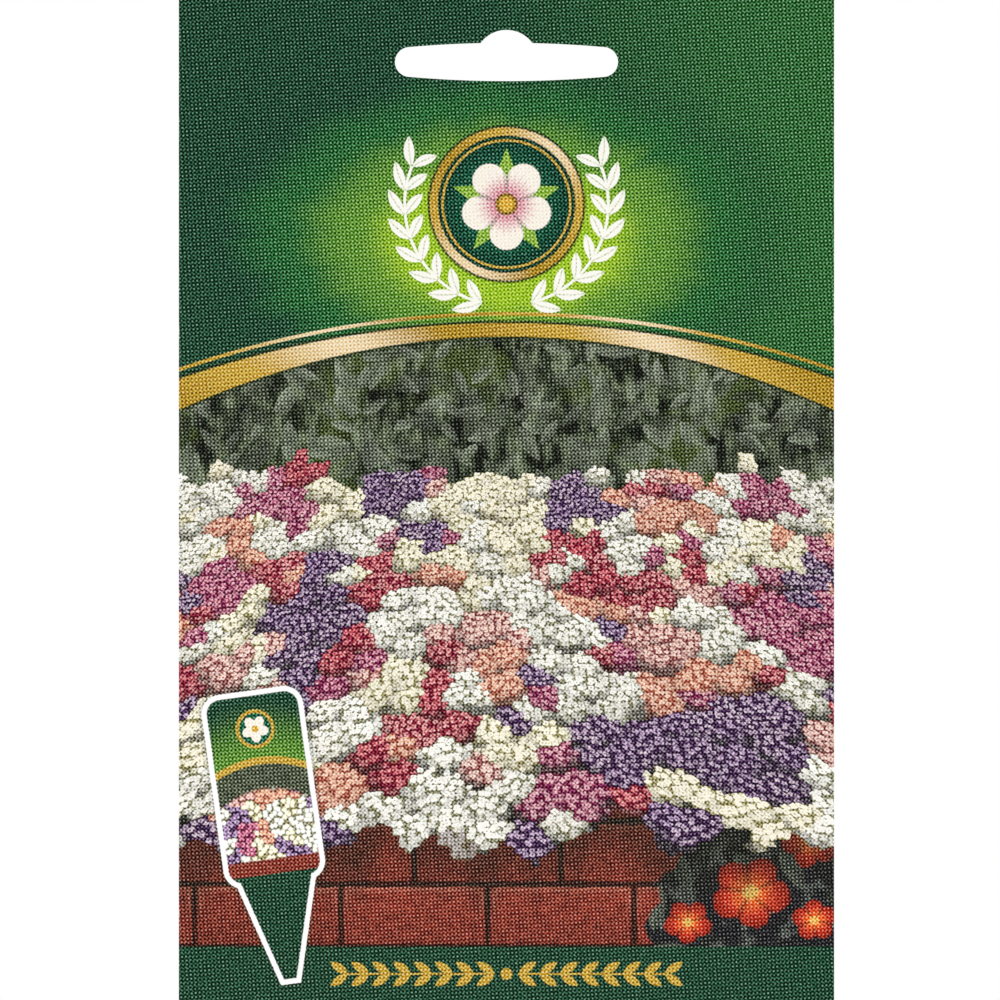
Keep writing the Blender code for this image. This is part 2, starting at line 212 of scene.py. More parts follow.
class Recipe:
    """A material being written."""

    def __init__(self, name: str) -> None:
        """Starts a material that has only its Principled shader.

        Args:
            name: the material's name.
        """
        self.material = bpy.data.materials.new(name)
        self.material.use_nodes = True
        self.tree = self.material.node_tree
        self.shader = self.tree.nodes["Principled BSDF"]

    def feed(self, socket: bpy.types.NodeSocket, value: Shade | float | tuple) -> None:
        """Links or sets one input.

        Args:
            socket: the input.
            value: a link, a number, or a colour or vector.
        """
        if isinstance(value, Shade):
            self.tree.links.new(value.link, socket)
        elif socket.type == "RGBA":
            colour = value if isinstance(value, tuple) else (value,) * 3
            socket.default_value = (*colour, 1.0)[:4]
        elif socket.type == "VECTOR":
            socket.default_value = value if isinstance(value, tuple) else (value,) * 3
        else:
            socket.default_value = value

    def node(self, kind: str, settings: dict, inputs: dict, output: int | str = 0) -> Shade:
        """Adds any node.

        Args:
            kind: the node's type.
            settings: its properties, set before its inputs. A ramp's stops are pairs of place and colour.
            inputs: its inputs, by name or number.
            output: which output to give back.

        Returns:
            That output.
        """
        made = self.tree.nodes.new(kind)
        for name, value in settings.items():
            if name == "stops":
                self.set_stops(made.color_ramp, value)
            elif name == "ramp":
                made.color_ramp.interpolation = value
            else:
                setattr(made, name, value)
        for name, value in inputs.items():
            self.feed(made.inputs[name], value)
        return Shade(self, made.outputs[output])

    @staticmethod
    def set_stops(ramp: bpy.types.ColorRamp, stops: Stops) -> None:
        """Gives a ramp its stops.

        Args:
            ramp: the ramp.
            stops: pairs of place and colour, in order.
        """
        while len(ramp.elements) < len(stops):
            ramp.elements.new(1.0)
        for element, (place, colour) in zip(ramp.elements, stops):
            element.position = place
            element.color = (*colour, 1.0)

    def spot(self) -> Shade:
        """The place on the piece in millimetres, as a vector."""
        return self.node("ShaderNodeTexCoord", {}, {}, "Object") * (1 / MM)

    def place(self) -> tuple[Shade, Shade, Shade]:
        """The place on the piece in millimetres: across, deep and high."""
        return self.spot().parts()

    def page(self) -> tuple[Shade, Shade]:
        """The place on a printed side in millimetres: across from the middle, and above the foot."""
        x, _, z = self.place()
        return x, z + foot_height()

    def vector(self, x: Shade | float, y: Shade | float, z: Shade | float = 0.0) -> Shade:
        """A vector from its parts."""
        return self.node("ShaderNodeCombineXYZ", {}, {0: x, 1: y, 2: z})

    def mix(self, mask: Shade | float, under: Shade | Colour, over: Shade | Colour) -> Shade:
        """Lays one colour over another.

        Args:
            mask: 0 shows what is under, and 1 what is over.
            under: the colour below.
            over: the colour above.

        Returns:
            The mixed colour.
        """
        return self.node("ShaderNodeMix", {"data_type": "RGBA"}, {0: mask, 6: under, 7: over}, 2)

    def ramp(self, value: Shade, stops: Stops, kind: str = "LINEAR") -> Shade:
        """Reads a colour off a ramp."""
        return self.node("ShaderNodeValToRGB", {"stops": stops, "ramp": kind}, {0: value})

    def cloud(self, where: Shade, scale: float, detail: float) -> Shade:
        """Soft noise from 0 to 1 all through a solid, with a number of features to one unit of length."""
        return self.node("ShaderNodeTexNoise", {}, {"Vector": where, "Scale": scale, "Detail": detail})

    def noise(self, where: Shade, size: float, detail: float = 2.0, rough: float = 0.5) -> Shade:
        """Soft noise from 0 to 1 on a flat print, with features of a size in millimetres."""
        inputs = {"Vector": where, "Scale": 1 / size, "Detail": detail, "Roughness": rough}
        return self.node("ShaderNodeTexNoise", {"noise_dimensions": "2D"}, inputs)

    def cells(self, where: Shade, size: float, spread: float = 1.0) -> tuple[Shade, Shade, Shade]:
        """Scattered cells of a size in millimetres.

        Args:
            where: the place to look up.
            size: the mean distance between cell middles.
            spread: 0 for a grid of cells, 1 for loosely scattered ones.

        Returns:
            The distance from the cell's middle as a share of the size, the cell's random colour, and where
            its middle is.
        """
        settings = {"voronoi_dimensions": "2D", "feature": "F1"}
        inputs = {"Vector": where, "Scale": 1 / size, "Randomness": spread}
        distance = self.node("ShaderNodeTexVoronoi", settings, inputs)
        return distance, distance.other("Color"), distance.other("Position")

    def finish(
        self, colour: Shade | tuple, roughness: Shade | float, **sockets: Shade | float | tuple
    ) -> bpy.types.Material:
        """Sets the shader's sockets, and gives back the material.

        Args:
            colour: the base colour.
            roughness: the roughness.
            sockets: other sockets, with underscores for the spaces in their names.

        Returns:
            The finished material.
        """
        self.feed(self.shader.inputs["Base Color"], colour)
        self.feed(self.shader.inputs["Roughness"], roughness)
        for name, value in sockets.items():
            self.feed(self.shader.inputs[name.replace("_", " ")], value)
        return self.material

    def bump(self, height: Shade, depth: float) -> Shade:
        """A normal from a height from 0 to 1, with a depth in millimetres."""
        return self.node("ShaderNodeBump", {}, {"Strength": 1.0, "Distance": depth * MM, "Height": height})


def span(x: Shade, y: Shade) -> Shade:
    """How far a place is from the middle."""
    return (x * x + y * y).root()


def rounded_box(x: Shade, y: Shade, half_x: float, half_y: float, corner: float) -> Shade:
    """How far a place is outside a box with round corners. It is below 0 inside.

    Args:
        x: place across from the box's middle.
        y: place up from its middle.
        half_x: half the box's width.
        half_y: half its height.
        corner: the radius of its corners.

    Returns:
        The distance.
    """
    aside = (abs(x) - (half_x - corner)).most(0.0)
    above = (abs(y) - (half_y - corner)).most(0.0)
    return span(aside, above) - corner


@dataclass(frozen=True)
class Layout:
    """Where things are printed on the front, in millimetres above the foot and across from the middle."""

    half_width: float = 47.0
    foot_band: float = 8.0
    arch_foot: float = 85.0
    arch_rise: float = 10.5
    band_middle: float = 1.9
    band_side: float = 4.4
    band_soft: float = 0.12
    band_shadow: float = 0.4
    shadow_soft: float = 0.3
    line_gap: float = 1.35
    line_outer: float = 0.34
    line_inner: float = 0.18
    bar_slant: float = 0.012
    seal_height: float = 114.5
    seal_radius: float = 11.0
    wreath_radius: float = 14.6

    def arch(self, x: Shade | float) -> Shade | float:
        """Height of the gold band's lower edge at x."""
        return self.arch_foot + self.arch_rise - (x * x) * (self.arch_rise / self.half_width**2)

    def band(self, x: Shade | float) -> Shade | float:
        """Width of the gold band at x."""
        return self.band_middle + (x * x) * ((self.band_side - self.band_middle) / self.half_width**2)


LAYOUT = Layout()


@dataclass(frozen=True)
class DotScreen:
    """The printing screen: two grids of fine dots, laid over each other at an angle."""

    pitches: tuple[float, float] = (0.525, 0.426)
    angles: tuple[float, float] = (4.0, 53.0)
    strengths: tuple[float, float] = (0.46, 0.58)
    uneven: float = 1.5
    uneven_size: float = 0.42

    def over(self, recipe: Recipe, colour: Shade, x: Shade, h: Shade) -> Shade:
        """Prints a colour through the screen. White and black have no dots, and middle tones the most.

        Args:
            recipe: the material.
            colour: the colour to print.
            x: place across, in millimetres.
            h: place up, in millimetres.

        Returns:
            The colour with its dots.
        """
        swing = None
        for pitch, angle, strength in zip(self.pitches, self.angles, self.strengths):
            turn = 2 * math.pi / pitch
            c = math.cos(math.radians(angle)) * turn
            s = math.sin(math.radians(angle)) * turn
            grid = ((x * c + h * s).cos() + (h * c - x * s).cos()) * strength
            swing = grid if swing is None else swing + grid
        uneven = recipe.noise(recipe.vector(x, h), self.uneven_size, 1.0) - 0.5
        power = 2.0 ** (swing + uneven * self.uneven)
        red, green, blue = (channel**power for channel in colour.parts())
        return recipe.vector(red, green, blue)


SCREEN = DotScreen()
SOFT_SCREEN = DotScreen(strengths=(0.27, 0.34), uneven=0.9)


@dataclass(frozen=True)
class PaperFinish:
    """Coated paper: an even sheen over a faint grain, with the folds rubbed pale in places."""

    roughness: float = 0.40
    grain: float = 0.35
    depth: float = 0.010
    sheen_change: float = 0.12
    specular: float = 0.08
    bare: Colour = srgb("EDEBE3")
    rub_from: float = 46.86
    rub_full: float = 46.99
    rub_strength: float = 0.6
    patch: float = 9.0
    nick: float = 2.2
    nicked: tuple[float, float] = (0.56, 0.72)

    def dress(self, recipe: Recipe, colour: Shade | Colour, x: Shade | None = None) -> bpy.types.Material:
        """Gives printed or bare paper its surface.

        Args:
            recipe: the material.
            colour: what is printed.
            x: place across, in millimetres, where the side folds are rubbed.

        Returns:
            The finished material.
        """
        spot = recipe.spot()
        fibres = recipe.cloud(spot, 1 / self.grain, 3.0)
        patches = recipe.cloud(spot, 1 / self.patch, 2.0)
        if x is not None:
            nicks = recipe.cloud(spot, 1 / self.nick, 4.0)
            rub = abs(x).rise(self.rub_from, self.rub_full) * nicks.rise(*self.nicked)
            colour = recipe.mix(rub * self.rub_strength, colour, self.bare)
        roughness = self.roughness + (patches - 0.5) * self.sheen_change
        normal = recipe.bump(fibres, self.depth)
        return recipe.finish(colour, roughness, Normal=normal, Specular_IOR_Level=self.specular)


PAPER_FINISH = PaperFinish()


@dataclass(frozen=True)
class Green:
    """The printed green ground, with a lime glow behind the seal."""

    deep: Colour = srgb("133D25")
    middle: Colour = srgb("1C6028")
    side: Colour = srgb("2A6D2C")
    leafy: Colour = srgb("5A922A")
    lime: Colour = srgb("9CC41E")
    glow_across: float = 41.0
    glow_up: float = 25.0
    glow_drop: float = 5.0
    rays: float = 0.20
    side_strength: float = 0.75

    def ground(self, recipe: Recipe, x: Shade, h: Shade) -> Shade:
        """The green at a place on the header.

        Args:
            recipe: the material.
            x: place across, in millimetres.
            h: height above the foot, in millimetres.

        Returns:
            The colour there.
        """
        aside = x * (1 / self.glow_across)
        above = (h - (LAYOUT.seal_height - self.glow_drop)) * (1 / self.glow_up)
        reach = span(aside, above)
        angle = above.bearing(aside)
        streak = recipe.noise(recipe.vector(angle * 7.0, reach * 0.6), 1.0, 2.0) - 0.5
        reach = reach * (1.0 + streak * self.rays)
        stops = [
            (0.0, self.lime),
            (0.34, self.lime),
            (0.52, self.leafy),
            (0.76, self.middle),
            (1.0, self.deep),
        ]
        green = recipe.ramp(reach, stops, "EASE")
        at_side = reach.rise(0.7, 1.1) * x.rise(-10.0, LAYOUT.half_width)
        return recipe.mix(at_side * self.side_strength, green, self.side)


@dataclass(frozen=True)
class Gold:
    """The printed gold: ochre, with light bars as on brushed metal."""

    ochre: Colour = srgb("B08A1C")
    bright: Colour = srgb("C9A538")
    pale: Colour = srgb("EFDAB2")
    shadow: Colour = srgb("1C2A10")

    def along(self, recipe: Recipe, way: Shade) -> Shade:
        """Gold whose light bars follow each other along a way from 0 to 1.

        Args:
            recipe: the material.
            way: the way across the light bars, from 0 to 1.

        Returns:
            The colour there.
        """
        stops = [
            (0.0, self.ochre),
            (0.12, self.bright),
            (0.27, self.pale),
            (0.42, self.ochre),
            (0.60, self.bright),
            (0.74, self.pale),
            (0.87, self.bright),
            (1.0, self.ochre),
        ]
        return recipe.ramp(way, stops, "EASE")


GREEN = Green()
GOLD = Gold()


def printed_band(recipe: Recipe, under: Shade, x: Shade, h: Shade) -> Shade:
    """Lays the gold arch band, its dark edge and a fine second line over a colour.

    Args:
        recipe: the material.
        under: the colour below.
        x: place across, in millimetres.
        h: place up, in millimetres.

    Returns:
        The colour with the band.
    """
    up = h - LAYOUT.arch(x)
    width = LAYOUT.band(x)
    way = x * (0.5 / LAYOUT.half_width) + 0.5
    gold = GOLD.along(recipe, way + up * LAYOUT.bar_slant)
    soft = LAYOUT.shadow_soft
    dark = (up + LAYOUT.band_shadow).rise(-soft, soft) * (width + LAYOUT.band_shadow - up).rise(-soft, soft)
    soft = LAYOUT.band_soft
    band = up.rise(-soft, soft) * (width - up).rise(-soft, soft)
    line = abs(up - width - LAYOUT.line_gap).rise(LAYOUT.line_outer, LAYOUT.line_inner)
    shown = recipe.mix(dark, under, GOLD.shadow)
    shown = recipe.mix(band, shown, gold)
    return recipe.mix(line, shown, gold)


@dataclass(frozen=True)
class Sprig:
    """A stem with pairs of pointed leaves, drawn along any line."""

    pitch: float
    length: float
    half: float
    angle: float = 36.0
    stem: float = 0.2

    def mask(self, along: Shade, out: Shade, first: int, last: int) -> tuple[Shade, Shade]:
        """Where the sprig is.

        Args:
            along: the way along the stem, in millimetres.
            out: the distance from the stem.
            first: how many pairs of leaves are left out at its start.
            last: the pair that it ends with.

        Returns:
            The mask, and a mask of the leaves' ribs.
        """
        start = first * self.pitch
        end = last * self.pitch
        near = (along * (1 / self.pitch)).part() * self.pitch
        c = math.cos(math.radians(self.angle))
        s = math.sin(math.radians(self.angle))
        length = (near * c + out * s) * (1 / self.length)
        side = abs(out * c - near * s)
        outline = length * (1.0 - length) * (4 * self.half)
        leaves = (outline - side).rise(-0.06, 0.10) * along.rise(end, end - 0.05)
        stem_end = end - self.pitch
        stem = out.rise(self.stem + 0.08, self.stem - 0.06) * along.rise(stem_end + 0.3, stem_end)
        return leaves.most(stem) * along.rise(start - 0.05, start), side.rise(0.16, 0.05)


@dataclass(frozen=True)
class HeaderPrint:
    """The upper part of the front: green ground, and a round seal with a flower inside a wreath."""

    petals: float = 5.0
    petal_reach: float = 6.6
    petal: Colour = srgb("FAF4E8")
    petal_root: Colour = srgb("D98FA0")
    heart: Colour = srgb("E0B53C")
    heart_edge: Colour = srgb("8A6414")
    seal: Colour = srgb("0F5A3A")
    seal_edge: Colour = srgb("052A1B")
    leaf: Colour = srgb("8DB63A")
    cream: Colour = srgb("FDFBF4")
    rib: Colour = srgb("A9BE7A")
    sprig: Sprig = Sprig(3.55, 4.3, 0.78)
    sprig_leaves: tuple[int, int] = (1, 9)
    soft: float = 0.14
    ring: float = 1.15
    line_inset: float = 0.7
    sepal_root: float = 4.4
    sepal_reach: float = 3.6
    heart_reach: float = 1.5

    def seal_over(self, recipe: Recipe, under: Shade, x: Shade, up: Shade) -> Shade:
        """The gold-ringed seal and the flower in it.

        Args:
            recipe: the material.
            under: the colour below.
            x: place across from the seal's middle.
            up: place up from it.

        Returns:
            The colour with it laid on.
        """
        reach = span(x, up)
        angle = up.bearing(x)
        soft = self.soft
        radius = LAYOUT.seal_radius
        disc = recipe.mix(reach.rise(3.0, radius), self.seal, self.seal_edge)
        shown = recipe.mix(reach.rise(radius + 0.55, radius + 0.1), under, GOLD.shadow)
        ring = reach.rise(radius + soft, radius - soft)
        shown = recipe.mix(ring, shown, GOLD.along(recipe, (angle * (0.5 / math.pi) + 0.6).part()))
        inner = radius - self.ring
        shown = recipe.mix(reach.rise(inner + soft, inner - soft), shown, disc)
        line = abs(reach - (inner - self.line_inset)).rise(0.24, 0.10)
        shown = recipe.mix(line, shown, GOLD.bright)
        turn = (angle + math.pi / 2) * (self.petals / 2)
        wave = abs(turn.cos())
        sepal = (1.0 - wave) ** 2.0
        sepals = (reach - self.sepal_root - sepal * self.sepal_reach).rise(0.15, -0.15)
        shown = recipe.mix(sepals, shown, self.leaf)
        edge = self.petal_reach * (0.50 + 0.50 * wave**0.55)
        petals = (reach - edge).rise(soft, -soft)
        colour = recipe.mix(reach.rise(1.2, 4.6), self.petal_root, self.petal)
        vein = abs((turn * 6.0).sin()) ** 8.0 * reach.rise(5.6, 2.4)
        colour = recipe.mix(vein * 0.45, colour, self.petal_root)
        fold = wave.rise(0.0, 0.35) * 0.45 + 0.55
        shown = recipe.mix(petals, shown, colour * fold)
        heart = recipe.mix(reach.rise(0.7, self.heart_reach), self.heart, self.heart_edge)
        return recipe.mix(reach.rise(self.heart_reach + 0.25, self.heart_reach), shown, heart)

    def wreath_over(self, recipe: Recipe, under: Shade, x: Shade, up: Shade) -> Shade:
        """Two leafy sprigs that rise round the seal from its foot.

        Args:
            recipe: the material.
            under: the colour below.
            x: place across from the seal's middle.
            up: place up from it.

        Returns:
            The colour with it laid on.
        """
        reach = span(x, up)
        from_foot = abs(x).bearing(-up)
        radius = LAYOUT.wreath_radius
        inside, rib = self.sprig.mask(from_foot * radius, abs(reach - radius), *self.sprig_leaves)
        return recipe.mix(inside, under, recipe.mix(rib * 0.4, self.cream, self.rib))

    def material(self) -> bpy.types.Material:
        """Writes the header's material.

        Returns:
            The finished material.
        """
        recipe = Recipe("header_print")
        x, h = recipe.page()
        ground = GREEN.ground(recipe, x, h)
        above = h - LAYOUT.seal_height
        shown = self.wreath_over(recipe, ground, x, above)
        shown = self.seal_over(recipe, shown, x, above)
        shown = printed_band(recipe, shown, x, h)
        return PAPER_FINISH.dress(recipe, SCREEN.over(recipe, shown, x, h), x)


@dataclass(frozen=True)
class Flower:
    """One colour of flower in the bed: its share of it, its petals and the gaps between them."""

    share: float
    petal: Colour
    gap: Colour
    reach: float


FLOWERS = (
    Flower(0.23, srgb("FFFBE8"), srgb("98905A"), 0.55),
    Flower(0.14, srgb("DC5E6C"), srgb("780C22"), 0.41),
    Flower(0.19, srgb("FFFFFB"), srgb("8C8A68"), 0.55),
    Flower(0.12, srgb("B597C0"), srgb("35193F"), 0.38),
    Flower(0.11, srgb("F3D0C4"), srgb("96504E"), 0.46),
    Flower(0.11, srgb("D884A0"), srgb("74153E"), 0.42),
    Flower(0.10, srgb("F0C2A4"), srgb("AD5842"), 0.46),
)


@dataclass(frozen=True)
class FlowerBed:
    """Drifts of small flowers in heads and cushions, which get smaller towards the back of the bed."""

    floret: float = 1.10
    head: float = 5.2
    cushion: float = 12.0
    shrink: float = 0.85
    flatten: float = 1.22
    top: float = 76.0
    foot: float = 26.0
    top_rise: float = 15.0
    overhang: float = 11.0
    trail_length: float = 10.0
    trail_share: float = 0.30
    stray: float = 0.24
    shadow: Colour = srgb("15160E")
    faded: Colour = srgb("F4E9DC")

    @staticmethod
    def stops(field_name: str) -> Stops:
        """Stops of a ramp that gives each colour of flower its share.

        Args:
            field_name: which of a flower's values the ramp gives.

        Returns:
            Pairs of place and value, in order.
        """
        stops = []
        place = 0.0
        for flower in FLOWERS:
            value = getattr(flower, field_name)
            stops.append((place, value if isinstance(value, tuple) else (value,) * 3))
            place += flower.share
        return stops

    def rows(self, above: Shade) -> Shade:
        """How far back in the bed a height above its foot is."""
        deep = above.most(0.0)
        return (above + deep * deep * (self.shrink / (2 * (self.top - self.foot)))) * self.flatten

    def trail(self, recipe: Recipe, across: Shade) -> Shade:
        """How far above the bed's foot the flowers end, which is below 0 where they hang over the edging."""
        waves = recipe.noise(recipe.vector(across, 40.0), self.trail_length)
        return (waves - self.trail_share) * (-2 * self.overhang)

    def over(self, recipe: Recipe, under: Shade, x: Shade, h: Shade) -> Shade:
        """Plants the bed over a colour.

        Args:
            recipe: the material.
            under: the colour below.
            x: place across, in millimetres.
            h: place up, in millimetres.

        Returns:
            The colour with the flowers, and their shadow below them.
        """
        depth = self.top - self.foot
        above = h - self.foot
        far = above.most(0.0) * (1 / depth)
        across = x * (1.0 + far * self.shrink)
        where = recipe.vector(across, self.rows(above))
        distance, chance, floret = recipe.cells(where, self.floret, 0.9)
        near_head, head_chance, head = recipe.cells(floret, self.head, 0.95)
        _, cushion_chance, cushion = recipe.cells(head, self.cushion)
        first, second, third = chance.parts()
        head_first, head_second, head_third = head_chance.parts()
        kind, _, _ = cushion_chance.parts()
        pick = (kind + head_first * head_second.rise(1.0 - self.stray, 1.001 - self.stray)).part()
        bright = recipe.ramp(pick, self.stops("petal"), "CONSTANT")
        deep = recipe.ramp(pick, self.stops("gap"), "CONSTANT")
        cover, _, _ = recipe.ramp(pick, self.stops("reach"), "CONSTANT").parts()
        bright = recipe.mix(head_third * 0.26 + second * 0.16, bright, self.faded)
        grit = recipe.noise(where, 0.5, 3.0, 0.7) - 0.5
        dx, dy, _ = (where - floret).parts()
        turn = dy.bearing(dx) + first * (2 * math.pi)
        lobe = cover * (0.74 + abs((turn * 2.0).cos()) * 0.30)
        petal = (distance - lobe - grit * 0.5).rise(0.10, -0.08)
        _, lift, _ = (floret - head).parts()
        lift = lift * (1 / self.head)
        _, mound, _ = (head - cushion).parts()
        light = 0.60 + near_head.rise(0.80, 0.15) * 0.32 + lift * 0.55 + mound * (0.22 / self.cushion)
        light = (light + (second - 0.5) * 0.45 + grit * 0.8).most(0.0).least(1.0)
        colour = recipe.mix(petal * (0.10 + light * 0.90), deep * (0.50 + light * 0.50), bright)
        colour = recipe.mix(distance.rise(0.17, 0.05) * third.rise(0.4, 0.8) * 0.6, colour, deep)
        gap = near_head.rise(0.44, 0.66) * (0.12 + lift.rise(0.12, -0.42) * 0.88) * (1.0 - far * 0.5)
        colour = recipe.mix(gap * (0.55 + head_third * 0.45), colour, self.shadow)
        head_across, head_up, _ = head.parts()
        ragged = recipe.noise(recipe.vector(head_across, 0.0), 12.0) - 0.5
        top = depth * (1.0 + self.shrink / 2) * self.flatten + ragged * (2 * self.top_rise)
        foot = self.trail(recipe, head_across)
        mask = (head_up - foot).rise(-0.01, 0.01) * (head_up - top).rise(0.01, -0.01)
        shade = (above - self.trail(recipe, x)).rise(-9.0, 1.0)
        shown = recipe.mix(shade * above.rise(4.0, 0.0) * 0.75, under, self.shadow)
        return recipe.mix(mask, shown, colour)


@dataclass(frozen=True)
class DarkLeaves:
    """Leaves in the shade behind and beside the flowers."""

    dark: Colour = srgb("070A05")
    middle: Colour = srgb("28321F")
    light: Colour = srgb("647052")
    fresh: Colour = srgb("4F6226")
    pale: Colour = srgb("94A088")
    layers: tuple[tuple[float, Place, float], ...] = (
        (7.4, (3.1, 8.2, 0.0), 0.55),
        (5.2, (11.7, 1.3, 0.0), 0.62),
        (3.8, (5.9, 4.4, 0.0), 0.7),
    )
    long: float = 0.60
    wide: float = 0.21

    def ground(self, recipe: Recipe, x: Shade, h: Shade) -> Shade:
        """The soft mass of leaves, with three layers of pointed ones on it.

        Args:
            recipe: the material.
            x: place across, in millimetres.
            h: height above the foot, in millimetres.

        Returns:
            The colour there.
        """
        where = recipe.vector(x, h)
        mass = recipe.noise(recipe.vector(x * 1.6, h * 0.8), 4.2, 5.0, 0.62)
        stops = [
            (0.0, self.dark),
            (0.40, self.dark),
            (0.50, self.middle),
            (0.64, self.light),
            (0.80, self.pale),
        ]
        shown = recipe.ramp(mass, stops)
        fresh = recipe.noise(where + (31.0, 7.0, 0.0), 13.0).rise(0.50, 0.66)
        shown = recipe.mix(fresh * 0.45, shown, self.fresh)
        for size, shift, strength in self.layers:
            leaf, colour = self.leaf(recipe, where + shift, size)
            shown = recipe.mix(leaf * strength, shown, colour)
        return shown

    def leaf(self, recipe: Recipe, where: Shade, size: float) -> tuple[Shade, Shade]:
        """Scattered leaves of one size.

        Args:
            recipe: the material.
            where: the place to look up.
            size: the mean distance between leaves.

        Returns:
            A mask of the leaves, and their colour.
        """
        _, chance, middle = recipe.cells(where, size)
        first, second, third = chance.parts()
        dx, dy, _ = (where - middle).parts()
        turn = first * (2 * math.pi)
        c = turn.cos()
        s = turn.sin()
        length = (dx * c + dy * s) * (1 / (size * self.long))
        side = (dy * c - dx * s) * (1 / (size * self.wide))
        inside = ((1.0 - length * length) - abs(side)).rise(-0.03, 0.16)
        half = side.rise(-0.12, 0.12)
        colour = recipe.mix(second, self.middle, self.pale)
        colour = colour * (0.55 + half * 0.35 + length * 0.25)
        return inside * third.rise(0.10, 0.30), colour


@dataclass(frozen=True)
class BrickEdging:
    """Two courses of fired bricks that hold the bed."""

    length: float = 21.0
    course: float = 9.0
    joint: float = 0.45
    face: Colour = srgb("9E3B2A")
    low: Colour = srgb("6C2016")
    worn: Colour = srgb("BC6850")
    mortar: Colour = srgb("2C0E08")

    def ground(self, recipe: Recipe, x: Shade, h: Shade) -> Shade:
        """The bricks at a place.

        Args:
            recipe: the material.
            x: place across, in millimetres.
            h: height above the foot, in millimetres.

        Returns:
            The colour there.
        """
        course = (h - LAYOUT.foot_band) * (1 / self.course)
        row = course.whole()
        across = x * (1 / self.length) + row * 0.5 + 0.13
        drift = recipe.noise(recipe.vector(x, h), 4.0) - 0.5
        u = abs(across.part() - 0.5) * self.length
        v = (course.part() - 0.5) * self.course
        gap = (u - self.length / 2).most(abs(v) - self.course / 2) + self.joint + drift * 0.35
        tone = recipe.noise(recipe.vector(x, h), 1.3, 4.0, 0.7)
        colour = recipe.mix(tone.rise(0.25, 0.75), self.low, self.face)
        brick = recipe.cells(recipe.vector(across.whole(), row) * 9.7, 0.3, 1.0)[1].parts()[0]
        colour = colour * (0.78 + brick * 0.34 + v * 0.035)
        edge = gap.rise(-0.9, -0.3) * v.rise(-1.0, 3.5)
        colour = recipe.mix(edge * 0.45, colour, self.worn)
        return recipe.mix(gap.rise(-0.12, 0.16), colour, self.mortar)


@dataclass(frozen=True)
class FireBlooms:
    """A corner of dark leaves with a few flame-coloured flowers."""

    blooms: tuple[tuple[float, float, float, float], ...] = (
        (35.0, 15.8, 5.6, 0.4),
        (43.6, 23.2, 4.2, 1.5),
        (26.0, 11.6, 3.4, 0.9),
        (44.2, 11.8, 3.2, 2.2),
    )
    reach_across: float = 27.0
    reach_up: float = 22.0
    black: Colour = srgb("151517")
    grey: Colour = srgb("7C8478")
    red: Colour = srgb("C8321C")
    deep: Colour = srgb("8A1408")
    orange: Colour = srgb("F0702C")
    yellow: Colour = srgb("F7C860")

    def over(self, recipe: Recipe, under: Shade, x: Shade, h: Shade) -> Shade:
        """Puts the corner over a colour.

        Args:
            recipe: the material.
            under: the colour below.
            x: place across, in millimetres.
            h: height above the foot, in millimetres.

        Returns:
            The colour with it laid on.
        """
        where = recipe.vector(x, h)
        aside = (LAYOUT.half_width - x) * (1 / self.reach_across)
        above = (h - LAYOUT.foot_band) * (1 / self.reach_up)
        wave = (recipe.noise(where, 5.0, 3.0) - 0.5) * 0.55
        inside = (aside * aside + above * above + wave).rise(1.02, 0.97)
        leaf, colour = DarkLeaves().leaf(recipe, where + (17.0, 3.0, 0.0), 6.2)
        shade = recipe.mix(recipe.noise(where, 3.5, 4.0).rise(0.52, 0.75) * 0.5, self.black, self.grey)
        corner = recipe.mix(leaf * 0.5, shade, colour)
        shown = recipe.mix(inside, under, corner)
        for px, ph, radius, turn in self.blooms:
            shown = self.bloom(recipe, shown, x - px, h - ph, radius, turn)
        return shown

    def bloom(self, recipe: Recipe, under: Shade, dx: Shade, dy: Shade, radius: float, turn: float) -> Shade:
        """One open flower with five broad petals.

        Args:
            recipe: the material.
            under: the colour below.
            dx: place across from its middle.
            dy: place up from its middle.
            radius: its reach in millimetres.
            turn: how far it is turned, in radians.

        Returns:
            The colour with the flower.
        """
        reach = (dx * dx + dy * dy * 1.25).root() * (1 / radius)
        wave = abs((dy.bearing(dx) * 2.5 + turn).cos())
        frill = recipe.noise(recipe.vector(dx + turn * 9.0, dy), 1.1, 2.0) * 0.16
        inside = (reach - 0.70 - wave * 0.26 - frill).rise(0.04, -0.05)
        stops = [
            (0.0, self.yellow),
            (0.14, self.yellow),
            (0.26, self.orange),
            (0.62, self.red),
            (1.0, self.deep),
        ]
        colour = recipe.ramp(reach + frill - 0.08, stops) * (0.50 + wave.rise(0.0, 0.6) * 0.50)
        return recipe.mix(inside, under, colour)


